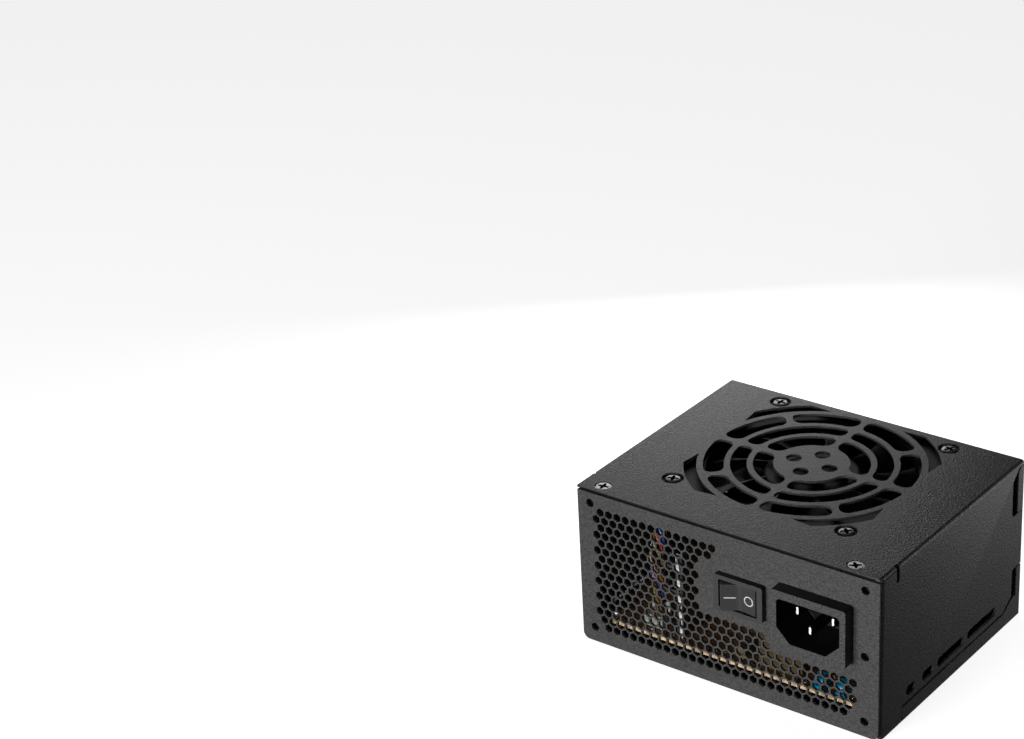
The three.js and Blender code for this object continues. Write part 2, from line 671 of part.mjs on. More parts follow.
function switchTerminal(dx) {
  return block(SWITCH.x + dx - 2.4, SWITCH.x + dx + 2.4, SWITCH_FLOOR + 1.2, SWITCH_FLOOR + 14,
    SWITCH.z - 0.4, SWITCH.z + 0.4);
}

// ---------------------------------------------------------------- mains inlet
function wellOutline() {
  const w = INLET.wellW / 2;
  const h = INLET.wellH / 2;
  const x = INLET.x;
  const z = INLET.z - INLET.wellDrop;
  const r = WELL_CORNER;
  return outline([[x - w + WELL_CHAMFER, z - h], [x + w - WELL_CHAMFER, z - h], [x + w, z - h + WELL_CHAMFER],
    [x + w, z + h - r], [x + w - 0.35 * r, z + h - 0.35 * r], [x + w - r, z + h],
    [x - w + r, z + h], [x - w + 0.35 * r, z + h - 0.35 * r], [x - w, z + h - r],
    [x - w, z - h + WELL_CHAMFER]]);
}

const INLET_FRONT = FRONT - INLET.proud;
const PINS = [
  { name: "inlet_pin_line", x: INLET.x - PIN.apart, z: INLET.z + PIN.live, tip: PIN.tipLive },
  { name: "inlet_pin_neutral", x: INLET.x + PIN.apart, z: INLET.z + PIN.live, tip: PIN.tipLive },
  { name: "inlet_pin_earth", x: INLET.x, z: INLET.z + PIN.earth, tip: PIN.tipEarth },
];

function inletHousing() {
  const flangeFace = roundedRect(INLET.x, INLET.z, INLET.flangeW, INLET.flangeH, 1.0, 3);
  const flange = prism(flangeFace, "y", INLET_FRONT, FRONT - 0.1);
  const bodyFace = roundedRect(INLET.x, INLET.z, INLET.bodyW, INLET.bodyH, 1.0, 2);
  const body = prism(bodyFace, "y", FRONT - 0.2, INLET_BACK);
  const halfW = PIN.width / 2 + PIN.fit;
  const halfH = PIN.height / 2 + PIN.fit;
  const slots = PINS.map((pin) => block(pin.x - halfW, pin.x + halfW, WELL_BACK - 1, INLET_BACK + 1,
    pin.z - halfH, pin.z + halfH));
  return cut(join(flange, body), prism(wellOutline(), "y", INLET_FRONT - 1, WELL_BACK), ...slots);
}

// a flat blade with a tapered tip
function inletPin(pin) {
  const half = PIN.width / 2;
  const point = half * 0.35;
  const plan = outline([[pin.x - half, PIN.end], [pin.x - half, pin.tip + PIN.taper],
    [pin.x - point, pin.tip], [pin.x + point, pin.tip], [pin.x + half, pin.tip + PIN.taper],
    [pin.x + half, PIN.end]]);
  return prism(plan, "z", pin.z - PIN.height / 2, pin.z + PIN.height / 2);
}

// ---------------------------------------------------------------- cable outlet
function cableGrommet() {
  const ring = (grow, low, high) => prism(roundedRect(OUTLET.x, OUTLET.z, OUTLET.width + grow,
    OUTLET.height + grow, OUTLET.radius + grow / 2, 4), "y", low, high);
  const sleeve = ring(-0.4, BACK - SHEET - 2, BACK + 1);
  const outerLip = ring(3, BACK + 0.1, BACK + 1.6);
  const innerLip = ring(3, BACK - 2.6, BACK - SHEET - 0.1);
  return cut(join(sleeve, outerLip, innerLip), ring(-3.4, BACK - 4, BACK + 4));
}

// ---------------------------------------------------------------- main board and what stands on it
function insulationSheet() {
  const sheet = prism(roundedRect(0, 1, 112, 88, 2, 2), "z", SHEET + 0.2, SHEET + 0.6);
  return cut(sheet, prisms(STANDOFFS.map(([x, y]) => circle(x, y, 4, 12)), "z", 0, 4));
}

function mainBoard() {
  const board = block(-BOARD.x, BOARD.x, BOARD.front, BOARD.back, BOARD.bottom, BOARD_TOP);
  const holes = STANDOFFS.map(([x, y]) => circle(x, y, 1.8, 12));
  return cut(board, prisms(holes, "z", BOARD.bottom - 1, BOARD_TOP + 1));
}

function standoff(x, y) {
  const bore = 1.9;
  const low = SHEET + 0.1;
  const high = BOARD.bottom - 0.1;
  return turned([[bore, low], [3.2, low], [3.2, high], [bore, high], [bore, low]], 6, x, y);
}

function boardScrew(x, y) {
  const seat = BOARD_TOP + 0.1;
  return turned([[0, SHEET + 0.5], [1.5, SHEET + 0.5], [1.5, seat], [2.8, seat], [2.8, seat + 1.1],
    [2.2, seat + 1.7], [0, seat + 1.7]], 8, x, y);
}

// an upright plate with fins along its top, as cut from an extruded bar
function heatsink(x, y0, y1, top, side) {
  const plate = block(x - 1.5, x + 1.5, y0, y1, SEAT, top);
  const fins = [0, 1, 2, 3].map((i) => block(side > 0 ? x + 1 : x - 7.5, side > 0 ? x + 7.5 : x - 1, y0, y1,
    top - 2 - i * 5, top - 0.6 - i * 5));
  return join(plate, ...fins);
}

function can(x, y, radius, top, sides) {
  return turned([[0, SEAT], [radius, SEAT], [radius, top - 0.6], [radius - 0.6, top], [0, top]], sides, x, y);
}

// an upright disc on two legs, edge-on to the panel
function discCapacitor(x, y, radius, centre) {
  const face = prism(circle(y, centre, radius, 20), "x", x - 1.7, x + 1.7);
  const legs = [-0.7, 1.7].map((dy) => block(x - 0.4, x + 0.4, y + dy - 0.4, y + dy + 0.4,
    SEAT, centre - radius + 1.5));
  return join(face, ...legs);
}

// a wound ring lying flat: the winding's outer shape, rounded over the edges
function toroid(x, y, outer, inner, height) {
  const low = SEAT;
  const high = SEAT + height;
  const soft = 1.6;
  return turned([[inner, low + soft], [inner + soft, low], [outer - soft, low], [outer, low + soft],
    [outer, high - soft], [outer - soft, high], [inner + soft, high], [inner, high - soft],
    [inner, low + soft]], 24, x, y);
}

function transformerCore(x, y) {
  const w = 15;
  const top = SEAT + 27;
  const core = block(x - w, x + w, y - 5.5, y + 5.5, SEAT, top);
  const windows = [-8, 8].map((dx) => block(x + dx - 3, x + dx + 3, y - 7, y + 7, SEAT + 6, top - 6));
  return cut(core, ...windows);
}

function transformerWinding(x, y) {
  const low = SEAT + 6.3;
  const high = SEAT + 20.7;
  const outer = prism(roundedRect(x, y, 21.2, 24, 6, 4), "z", low, high);
  return cut(outer, block(x - 5.3, x + 5.3, y - 5.8, y + 5.8, low - 1, high + 1));
}

function lead(points, radius) {
  const path = new THREE.CatmullRomCurve3(points.map(([x, y, z]) => new THREE.Vector3(x, y, z)));
  const section = circle(0, 0, radius, 6);
  const settings = { steps: points.length * 2, bevelEnabled: false, extrudePath: path };
  return solid(new THREE.ExtrudeGeometry(section, settings));
}

// ---------------------------------------------------------------- the assembly
place("top_cover", topCover(), COAT);
place("front_panel", frontPanel(), COAT);
place("base_tray", baseTray(), COAT);
COVER_SCREWS.forEach(([x, y], i) => {
  place(`cover_bracket_${i + 1}`, coverBracket(x, y), ZINC);
  place(`cover_screw_${i + 1}`, coverScrew(x, y), ZINC);
});
FAN_CORNERS.forEach(([x, y], i) => place(`fan_screw_${i + 1}`, fanScrew(x, y), ZINC));

place("fan_frame", fanFrame(), PLASTIC);
place("fan_impeller", fanImpeller(), PLASTIC);
place("fan_shaft", disc(FAN.x, FAN.y, 1.5, FAN_BOTTOM + 1.6, CUP_TOP - 1.2, 12), ZINC);
place("fan_magnet_ring", ringPiece(FAN.hub - 1.8, FAN.hub - 3.6, CUP_BOTTOM + 0.3, CUP_TOP - 1.8, 20),
  FERRITE);
place("fan_bearing", ringPiece(3.1, 1.6, FAN_BOTTOM + 1, FAN_BOTTOM + 9, 12), COPPER);
place("fan_stator", fanStator(), COPPER);

place("inlet_housing", inletHousing(), INLET_PLASTIC);
PINS.forEach((pin) => place(pin.name, inletPin(pin), ZINC));
place("switch_housing", switchHousing(), PLASTIC);
place("switch_rocker", switchRocker(), PLASTIC);
place("rocker_axle", prism(circle(SWITCH.x, PIVOT_Y, AXLE_R, 12), "z", SWITCH.z - 6.3, SWITCH.z + 6.3), ZINC);
TERMINAL_X.forEach((dx, i) => place(`switch_terminal_${i + 1}`, switchTerminal(dx), ZINC));
place("cable_grommet", cableGrommet(), PLASTIC);

place("insulation_sheet", insulationSheet(), MYLAR);
place("main_board", mainBoard(), FIBREGLASS);
STANDOFFS.forEach(([x, y], i) => {
  place(`board_standoff_${i + 1}`, standoff(x, y), ZINC);
  place(`board_screw_${i + 1}`, boardScrew(x, y), ZINC);
});
place("secondary_heatsink", heatsink(-25, -41, 12, 42, -1), ALUMINIUM);
place("primary_heatsink", heatsink(12, -20, 16, 42, 1), ALUMINIUM);
place("bulk_capacitor", can(38, 8, 13, 43, 32), SLEEVE);
place("transformer_core", transformerCore(0, 32), FERRITE);
place("transformer_winding", transformerWinding(0, 32), YELLOW);
place("output_choke", toroid(-42, 4, 12, 5.5, 11), COPPER);
place("common_mode_choke", toroid(40, -30.4, 9, 4, 9), COPPER);
place("x_capacitor", block(9, 27, -42, -34, SEAT, SEAT + 14), YELLOW);
place("y_capacitor_1", discCapacitor(36.2, -43.2, 3.6, SEAT + 3.9), BLUE);
place("y_capacitor_2", discCapacitor(44.8, -43.2, 3.6, SEAT + 3.9), BLUE);
place("bridge_rectifier", block(54, 57.4, -22, -2, SEAT, SEAT + 18), PLASTIC);
place("power_transistor", block(5.5, 10.2, -12, 4, SEAT + 6, SEAT + 27), PLASTIC);
place("fuse", prism(circle(2, SEAT + 3, 2.6, 14), "y", -43, -23), GLASS_SLEEVE);
OUTPUT_CANS.forEach(([x, y], i) => place(`output_capacitor_${i + 1}`, can(x, y, 5, 30, 18), SLEEVE));
place("converter_board", block(-20, -18.4, 18, 44, SEAT, 36), FIBREGLASS);
place("line_lead", lead(LINE_ROUTE, WIRE_R), PLASTIC);
place("neutral_lead", lead(NEUTRAL_ROUTE, WIRE_R), BLUE);
place("earth_lead", lead(EARTH_ROUTE, WIRE_R), GREEN);
place("fan_lead", lead(FAN_ROUTE, BUNDLE_R), PLASTIC);

export default unit;
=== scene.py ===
import math

import bmesh
import bpy
from mathutils import Matrix, Vector


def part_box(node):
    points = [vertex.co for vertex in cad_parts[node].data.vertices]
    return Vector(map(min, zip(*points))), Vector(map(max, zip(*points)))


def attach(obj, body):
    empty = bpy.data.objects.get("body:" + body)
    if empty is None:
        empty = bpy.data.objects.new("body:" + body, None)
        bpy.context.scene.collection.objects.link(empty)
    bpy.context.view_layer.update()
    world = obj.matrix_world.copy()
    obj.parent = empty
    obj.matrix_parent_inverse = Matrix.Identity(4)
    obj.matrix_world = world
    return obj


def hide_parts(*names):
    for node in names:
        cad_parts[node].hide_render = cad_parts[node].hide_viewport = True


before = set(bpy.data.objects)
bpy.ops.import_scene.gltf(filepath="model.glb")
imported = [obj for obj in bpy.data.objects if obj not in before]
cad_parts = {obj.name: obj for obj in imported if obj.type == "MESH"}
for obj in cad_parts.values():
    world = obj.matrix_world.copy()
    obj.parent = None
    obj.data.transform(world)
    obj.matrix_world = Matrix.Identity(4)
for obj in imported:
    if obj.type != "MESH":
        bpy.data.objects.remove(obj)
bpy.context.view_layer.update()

MM = 0.001  # lengths below are in millimetres, and are made metres where meshes are built

# ---------------------------------------------------------------- sizes taken from the frame
def box_of(node):
    """A node's low and high corners in millimetres."""
    return [Vector(corner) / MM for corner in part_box(node)]


COVER = box_of("top_cover")
HALF_W = COVER[1].x
FRONT = COVER[0].y
BACK = COVER[1].y
HEIGHT = COVER[1].z
SHEET = 1.0
BEND = 1.3
TOP_IN = HEIGHT - SHEET
SIDE_IN = HALF_W - SHEET
FAN_BOX = box_of("fan_frame")
FAN_X = (FAN_BOX[0].x + FAN_BOX[1].x) / 2
FAN_Y = (FAN_BOX[0].y + FAN_BOX[1].y) / 2
FAN_BOTTOM = FAN_BOX[0].z
FAN_TOP = FAN_BOX[1].z
FAN_SCREW = 35.75
SPOKE = 2.6
RINGS = ((13.8, 21.1, 4), (23.3, 29.3, 4), (31.5, 39.0, 8))  # inner radius, outer radius, number of openings
CRESCENT = ((41.4, 38.5), (46.0, 39.4))  # radius and where it ends, for the inner and the outer edge
HUB_HOLE_RING = 7.45
HUB_HOLE_R = 2.9
MOUNT_HOLES = ((-56.5, 6), (56.5, 6), (-56.5, 57.5), (56.5, 57.5), (56.5, 31.8))
MOUNT_HOLE_R = 1.68
SIDE_SLOTS = ((-32.3, -25.8), (-21.3, -13), (-10.7, 8.2), (10.7, 31.8))
SIDE_SLOT_Z = 10.3
SIDE_SLOT_H = 4
SIDE_SLOT_CORNER = 1.95
SEAM_Z = 6.4
PANEL_HALF_W = 61.9
BOARD_BOX = box_of("main_board")
SEAT = BOARD_BOX[1].z + 0.3


# ---------------------------------------------------------------- mesh building
def add_prism(bm, points, axis, low, high):
    """Pushes one outline from low to high. On axis x its own axes are y and z, on axis y they are x and z."""
    order = {
        "x": lambda a, b, c: (c, a, b),
        "y": lambda a, b, c: (a, c, b),
        "z": lambda a, b, c: (a, b, c),
    }[axis]
    near = [bm.verts.new(Vector(order(a, b, low)) * MM) for a, b in points]
    far = [bm.verts.new(Vector(order(a, b, high)) * MM) for a, b in points]
    faces = [bm.faces.new(near), bm.faces.new(list(reversed(far)))]
    for i in range(len(points)):
        j = (i + 1) % len(points)
        faces.append(bm.faces.new((near[j], near[i], far[i], far[j])))
    bmesh.ops.recalc_face_normals(bm, faces=faces)


def add_turned(bm, profile, x, y, sides):
    """Turns a half profile of (radius, height) about an upright axis, from axis to axis or closed."""
    closed = profile[0] == profile[-1]
    points = profile[:-1] if closed else profile
    rings = []
    for radius, z in points:
        if radius < 1e-6:
            rings.append([bm.verts.new(Vector((x, y, z)) * MM)] * sides)
            continue
        ring = []
        for i in range(sides):
            angle = 2 * math.pi * i / sides
            point = Vector((x + radius * math.cos(angle), y + radius * math.sin(angle), z))
            ring.append(bm.verts.new(point * MM))
        rings.append(ring)
    pairs = list(zip(rings, rings[1:])) + ([(rings[-1], rings[0])] if closed else [])
    faces = []
    for lower, upper in pairs:
        for i in range(sides):
            j = (i + 1) % sides
            corners = []
            for vert in (lower[i], lower[j], upper[j], upper[i]):
                if vert not in corners:
                    corners.append(vert)
            faces.append(bm.faces.new(corners))
    bmesh.ops.recalc_face_normals(bm, faces=faces)


def add_tube(bm, points, radius, sides=12):
    """A round tube with closed ends along a list of points."""
    path = [Vector(p) * MM for p in points]
    side = Vector((0, 0, 1))
    rings = []
    for i, point in enumerate(path):
        forward = (path[min(i + 1, len(path) - 1)] - path[max(i - 1, 0)]).normalized()
        side = (side - forward * side.dot(forward))
        if side.length < 1e-4:
            side = forward.orthogonal()
        side.normalize()
        other = forward.cross(side)
        ring = []
        for k in range(sides):
            angle = 2 * math.pi * k / sides
            spoke = side * math.cos(angle) + other * math.sin(angle)
            ring.append(bm.verts.new(point + spoke * radius * MM))
        rings.append(ring)
    faces = [bm.faces.new(rings[0]), bm.faces.new(list(reversed(rings[-1])))]
    for a, b in zip(rings, rings[1:]):
        for k in range(sides):
            j = (k + 1) % sides
            faces.append(bm.faces.new((a[k], a[j], b[j], b[k])))
    bmesh.ops.recalc_face_normals(bm, faces=faces)


def add_box(bm, x0, x1, y0, y1, z0, z1):
    add_prism(bm, [(x0, y0), (x1, y0), (x1, y1), (x0, y1)], "z", z0, z1)


def circle(x, y, radius, sides):
    return [(x + radius * math.cos(2 * math.pi * i / sides), y + radius * math.sin(2 * math.pi * i / sides))
            for i in range(sides)]


def rounded_rect(x, y, width, height, radius, steps=8):
    points = []
    for sx, sy, start in ((1, 1, 0), (-1, 1, 90), (-1, -1, 180), (1, -1, 270)):
        for i in range(steps + 1):
            angle = math.radians(start + 90 * i / steps)
            points.append((x + sx * (width / 2 - radius) + radius * math.cos(angle),
                           y + sy * (height / 2 - radius) + radius * math.sin(angle)))
    return points


def smooth_path(points, per_span=8):
    """A Catmull-Rom curve through the points."""
    pts = [Vector(p) for p in points]
    pts = [pts[0] * 2 - pts[1]] + pts + [pts[-1] * 2 - pts[-2]]
    out = []
    for i in range(1, len(pts) - 2):
        p0, p1, p2, p3 = pts[i - 1:i + 3]
        for k in range(per_span):
            t = k / per_span
            out.append(0.5 * ((2 * p1) + (p2 - p0) * t + (2 * p0 - 5 * p1 + 4 * p2 - p3) * t * t
                              + (3 * p1 - p0 - 3 * p2 + p3) * t ** 3))
    out.append(pts[-2])
    return out


def new_object(name, bm):
    mesh = bpy.data.meshes.new(name)
    bm.to_mesh(mesh)
    bm.free()
    obj = bpy.data.objects.new(name, mesh)
    bpy.context.scene.collection.objects.link(obj)
    return obj


def bake(obj):
    """Applies an object's modifiers to its mesh."""
    bpy.context.view_layer.update()
    depsgraph = bpy.context.evaluated_depsgraph_get()
    mesh = bpy.data.meshes.new_from_object(obj.evaluated_get(depsgraph))
    obj.modifiers.clear()
    obj.data = mesh


def boolean(base, bm, operation="DIFFERENCE"):
    """Cuts the bmesh from base, or joins it on."""
    tool = new_object("tool", bm)
    modifier = base.modifiers.new("boolean", "BOOLEAN")
    modifier.object = tool
    modifier.operation = operation
    modifier.solver = "EXACT"
    bake(base)
    bpy.data.objects.remove(tool)


def soften(obj, width, segments=2, angle=32, merge_flats=True):
    """Rounds the sharp edges and shades the rest smooth."""
    bm = bmesh.new()
    bm.from_mesh(obj.data)
    bmesh.ops.remove_doubles(bm, verts=bm.verts, dist=2e-6)
    if merge_flats:
        bmesh.ops.dissolve_limit(bm, angle_limit=math.radians(0.5), verts=bm.verts, edges=bm.edges)
    bm.to_mesh(obj.data)
    bm.free()
    for polygon in obj.data.polygons:
        polygon.use_smooth = True
    bevel = obj.modifiers.new("edges", "BEVEL")
    bevel.width = width * MM
    bevel.segments = segments
    bevel.limit_method = "ANGLE"
    bevel.angle_limit = math.radians(angle)
    bevel.use_clamp_overlap = True
    bevel.harden_normals = True
    bevel.miter_outer = "MITER_ARC"
    bake(obj)


def piece(obj, look, body="chassis", stands_for=()):
    """Gives a new piece its material, its body and the CAD nodes that it stands for."""
    obj.data.materials.clear()
    obj.data.materials.append(LOOKS[look])
    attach(obj, body)
    if stands_for:
        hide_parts(*stands_for)
    return obj


def paint_shade_on_sides(obj):
    """Gives every face that isn't on the front of a moulding a smooth, darker material: painted shade on the
    sides and inside the well.
    """
    obj.data.materials.append(LOOKS["painted_shade_plastic"])
    front = min(vert.co.y for vert in obj.data.vertices)
    for polygon in obj.data.polygons:
        if polygon.normal.y > -0.8 or polygon.center.y > front + 1.5 * MM:
            polygon.material_index = 1


def refine(node, look, width, body="chassis", segments=2, merge_flats=True):
    """A copy of a CAD node with its sharp edges rounded, which stands for the node."""
    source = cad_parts[node]
    obj = bpy.data.objects.new(node + "_fine", source.data.copy())
    bpy.context.scene.collection.objects.link(obj)
    if obj.data.has_custom_normals:
        bpy.context.view_layer.objects.active = obj
        bpy.ops.mesh.customdata_custom_splitnormals_clear()
    soften(obj, width, segments, merge_flats=merge_flats)
    return piece(obj, look, body, (node,))


# ---------------------------------------------------------------- materials
def material(name, color, roughness, metallic=0.0, grain=None, tone=0.0, streak=None, **surface):
    """A surface with fine grain (size, height, speckle), broad uneven tone, and streaks along an axis."""
    mat = bpy.data.materials.new(name)
    mat.use_nodes = True
    tree = mat.node_tree
    shader = tree.nodes["Principled BSDF"]
    shader.inputs["Base Color"].default_value = (*color, 1)
    shader.inputs["Roughness"].default_value = roughness
    shader.inputs["Metallic"].default_value = metallic
    for key, value in surface.items():
        shader.inputs[key.replace("_", " ").title().replace("Ior", "IOR")].default_value = value
    coords = tree.nodes.new("ShaderNodeTexCoord")
    mapping = tree.nodes.new("ShaderNodeMapping")
    tree.links.new(coords.outputs["Object"], mapping.inputs["Vector"])
    mapping.inputs["Scale"].default_value = streak or (1, 1, 1)

    def noise(scale, detail, vector):
        node = tree.nodes.new("ShaderNodeTexNoise")
        node.inputs["Scale"].default_value = scale
        node.inputs["Detail"].default_value = detail
        tree.links.new(vector, node.inputs["Vector"])
        return node.outputs["Fac"]

    def remap(value, low, high, spread=(0.3, 0.7)):
        node = tree.nodes.new("ShaderNodeMapRange")
        node.inputs["From Min"].default_value = spread[0]
        node.inputs["From Max"].default_value = spread[1]
        node.inputs["To Min"].default_value = low
        node.inputs["To Max"].default_value = high
        tree.links.new(value, node.inputs["Value"])
        return node.outputs["Result"]

    def scaled(vector_color, factor):
        node = tree.nodes.new("ShaderNodeVectorMath")
        node.operation = "SCALE"
        if vector_color is None:
            node.inputs[0].default_value = color
        else:
            tree.links.new(vector_color, node.inputs[0])
        tree.links.new(factor, node.inputs["Scale"])
        return node.outputs["Vector"]

    size, height, speckle = grain or (0.5, 0.0, 0.0)
    fine = noise(1 / (size * MM), 2.0, mapping.outputs["Vector"])
    broad = noise(45.0, 3.0, coords.outputs["Object"])
    shade = scaled(None, remap(broad, 1 - tone, 1 + tone))
    shade = scaled(shade, remap(fine, 1 - speckle, 1 + speckle))
    tree.links.new(shade, shader.inputs["Base Color"])
    gloss = remap(fine, max(roughness - 0.07, 0.03), min(roughness + 0.07, 1))
    tree.links.new(gloss, shader.inputs["Roughness"])
    if height:
        bump = tree.nodes.new("ShaderNodeBump")
        bump.inputs["Strength"].default_value = 1.0
        bump.inputs["Distance"].default_value = height * MM
        tree.links.new(fine, bump.inputs["Height"])
        tree.links.new(bump.outputs["Normal"], shader.inputs["Normal"])
    return mat


LOOKS = {
    "coat": material("powder_coat", (0.044, 0.0435, 0.043), 0.56, grain=(0.7, 0.22, 0.34), tone=0.05,
                     specular_ior_level=0.3),
    # A darker copy of the coat: painted shade for the dark band on the cover's front bends.
    "coat_painted_shade": material("powder_coat_painted_shade", (0.016, 0.016, 0.016), 0.6, grain=(0.8, 0.1, 0.3), tone=0.05,
                          specular_ior_level=0.2),
    "zinc": material("zinc_plate", (0.58, 0.57, 0.54), 0.33, 1.0, grain=(0.3, 0.01, 0.08), tone=0.1),
    "screw_steel": material("screw_plating", (0.17, 0.17, 0.17), 0.5, 1.0, grain=(0.25, 0.008, 0.1),
                            tone=0.12),
    "bright_screw": material("bright_plating", (0.42, 0.42, 0.41), 0.5, 1.0,
                             grain=(0.25, 0.008, 0.1), tone=0.1),
    # Near black: painted shade for recesses, holes and gaps.
    "painted_shade_black": material("recess_painted_shade", (0.004, 0.004, 0.004), 0.5, tone=0.1, specular_ior_level=0.2),
    "fan_plastic": material("fan_moulding", (0.0035, 0.0035, 0.004), 0.6, grain=(0.3, 0.008, 0.1),
                            tone=0.06,
                            specular_ior_level=0.12),
    "ferrite": material("ferrite", (0.05, 0.05, 0.055), 0.6, grain=(0.25, 0.03, 0.25), tone=0.1),
    "copper": material("copper_wire", (0.62, 0.24, 0.09), 0.32, 0.9, grain=(0.5, 0.01, 0.1), tone=0.12),
    "inlet_plastic": material("inlet_moulding", (0.050, 0.050, 0.050), 0.6, grain=(0.8, 0.35, 0.5),
                              tone=0.05,
                              specular_ior_level=0.2),
    # Near white, not metallic: painted highlight for the glints on the pins' tips.
    "pin_painted_glint": material("pin_glint_painted", (0.9, 0.89, 0.87), 0.5, 0.0, grain=(0.3, 0.005, 0.05),
                        tone=0.05),
    # Near-black pin metal: painted shade for the pins deep in the inlet's well.
    "pin_metal": material("pin_plating_painted_shade", (0.03, 0.03, 0.03), 0.4, 1.0, grain=(0.3, 0.005, 0.05), tone=0.05,
                          streak=(3, 0.2, 3)),
    "switch_plastic": material("switch_moulding", (0.035, 0.035, 0.036), 0.42,
                               grain=(0.35, 0.03, 0.18), tone=0.05),
    "rocker_plastic": material("rocker_moulding", (0.033, 0.033, 0.034), 0.36,
                               grain=(0.35, 0.012, 0.1), tone=0.05),
    "mark_print": material("mark_print", (0.46, 0.47, 0.47), 0.5, grain=(0.3, 0.01, 0.08), tone=0.04),
    "grommet_plastic": material("grommet_moulding", (0.02, 0.02, 0.02), 0.45,
                                grain=(0.35, 0.02, 0.15), tone=0.06),
    "insulation": material("insulation_film", (0.02, 0.02, 0.02), 0.3, grain=(1.2, 0.01, 0.1), tone=0.05),
    "board": material("board_laminate", (0.20, 0.085, 0.03), 0.45, grain=(1.6, 0.02, 0.35), tone=0.2),
    # The cut laminate's own pale colour, made brighter as a painted highlight.
    "board_edge_and_highlight": material("cut_edge_and_highlight", (0.58, 0.42, 0.25), 0.5, grain=(1.6, 0.03, 0.5), tone=0.2),
    # A bright strip material: painted highlight for the glints along the heatsink's edge.
    "edge_painted_glint": material("aluminium_painted_glint", (0.85, 0.85, 0.84), 0.45, 0.35,
                             grain=(0.5, 0.03, 0.25), tone=0.2),
    # Grey: the pale nylon plug's colour darkened by painted shade.
    "nylon_painted_shade": material("plug_painted_shade", (0.30, 0.30, 0.27), 0.4, grain=(0.6, 0.02, 0.15), tone=0.1),
    "solder": material("solder", (0.35, 0.35, 0.34), 0.25, 1.0, grain=(0.4, 0.02, 0.1), tone=0.1),
    "heatsink": material("mill_aluminium", (0.20, 0.20, 0.20), 0.35, 1.0, grain=(0.35, 0.015, 0.12),
                         tone=0.08,
                         streak=(1, 0.12, 1)),
    "can_sleeve": material("shrink_sleeve", (0.02, 0.024, 0.035), 0.25, grain=(0.8, 0.01, 0.1), tone=0.08),
    "can_top": material("can_aluminium", (0.66, 0.66, 0.66), 0.3, 1.0, grain=(0.3, 0.008, 0.08), tone=0.06),
    "yellow_tape": material("polyester_tape", (0.30, 0.17, 0.03), 0.45, grain=(1.0, 0.01, 0.1), tone=0.08),
    # A darker, smoother copy of the moulding plastic: painted shade for the sides and wells of the mouldings.
    "painted_shade_plastic": material("painted_shade_moulding", (0.006, 0.006, 0.006), 0.35,
                                 grain=(0.5, 0.01, 0.1), tone=0.05,
                                 specular_ior_level=0.25),
    # The X capacitor's case colour darkened to deep brown: painted shade for its place deep inside.
    "film_case_painted_shade": material("film_capacitor_painted_shade", (0.07, 0.045, 0.012), 0.5, grain=(1.0, 0.01, 0.1),
                          tone=0.08),
    "blue_epoxy": material("blue_epoxy", (0.0, 0.14, 0.24), 0.25, grain=(1.2, 0.02, 0.12), tone=0.08),
    "black_epoxy": material("black_epoxy", (0.02, 0.02, 0.02), 0.55, grain=(0.3, 0.02, 0.15), tone=0.06),
    "fuse_sleeve": material("glass_sleeve", (0.10, 0.06, 0.025), 0.6, grain=(0.4, 0.05, 0.2), tone=0.08),
    "black_wire": material("black_insulation", (0.02, 0.02, 0.02), 0.3, grain=(0.6, 0.008, 0.1), tone=0.06),
    "red_wire": material("red_insulation", (0.26, 0.025, 0.012), 0.3, grain=(0.6, 0.008, 0.1), tone=0.06),
    "orange_wire": material("orange_insulation", (0.20, 0.07, 0.015), 0.3, grain=(0.6, 0.008, 0.1),
                            tone=0.06),
    "olive_wire": material("olive_insulation", (0.14, 0.10, 0.012), 0.3, grain=(0.6, 0.008, 0.1),
                           tone=0.06),
    "blue_wire": material("blue_insulation", (0.015, 0.04, 0.16), 0.3, grain=(0.6, 0.008, 0.1), tone=0.06),
    "green_wire": material("green_insulation", (0.06, 0.14, 0.012), 0.3, grain=(0.6, 0.008, 0.1),
                           tone=0.06),
}


# ---------------------------------------------------------------- camera, floor and lights
def make_camera():
    """The viewing position, with its right, up and back directions."""
    camera = bpy.data.objects.new("camera", bpy.data.cameras.new("camera"))
    right = Vector((0.78930, 0.61179, -0.05227))
    up = Vector((-0.22769, 0.37069, 0.90043))
    back = Vector((0.57024, -0.69880, 0.43188))
    place = Matrix((right, up, back)).transposed().to_4x4()
    place.translation = Vector((0.4233, -0.6774, 0.4899))
    camera.matrix_world = place
    camera.data.sensor_width = 36
    camera.data.lens = 88.69
    camera.data.clip_start = 0.01
    bpy.context.scene.collection.objects.link(camera)
    bpy.context.scene.camera = camera


def make_floor():
    bm = bmesh.new()
    reach = 3000
    add_box(bm, -reach, reach, -reach, reach, -20, -0.05)
    floor = new_object("floor", bm)
    mat = bpy.data.materials.new("floor")
    mat.use_nodes = True
    shader = mat.node_tree.nodes["Principled BSDF"]
    shader.inputs["Base Color"].default_value = (0.9, 0.9, 0.9, 1)
    shader.inputs["Roughness"].default_value = 0.8
    shader.inputs["Emission Color"].default_value = (1, 1, 1, 1)
    shader.inputs["Emission Strength"].default_value = 0.8
    floor.data.materials.append(mat)
    floor.visible_glossy = False
    floor.visible_diffuse = False


def make_light(name, place, target, size, power):
    """A soft rectangular lamp that the camera doesn't see."""
    lamp = bpy.data.lights.new(name, "AREA")
    lamp.shape = "RECTANGLE"
    lamp.size, lamp.size_y = size
    lamp.energy = power
    obj = bpy.data.objects.new(name, lamp)
    obj.location = place
    obj.rotation_euler = (Vector(target) - Vector(place)).to_track_quat("-Z", "Y").to_euler()
    obj.visible_camera = False
    bpy.context.scene.collection.objects.link(obj)


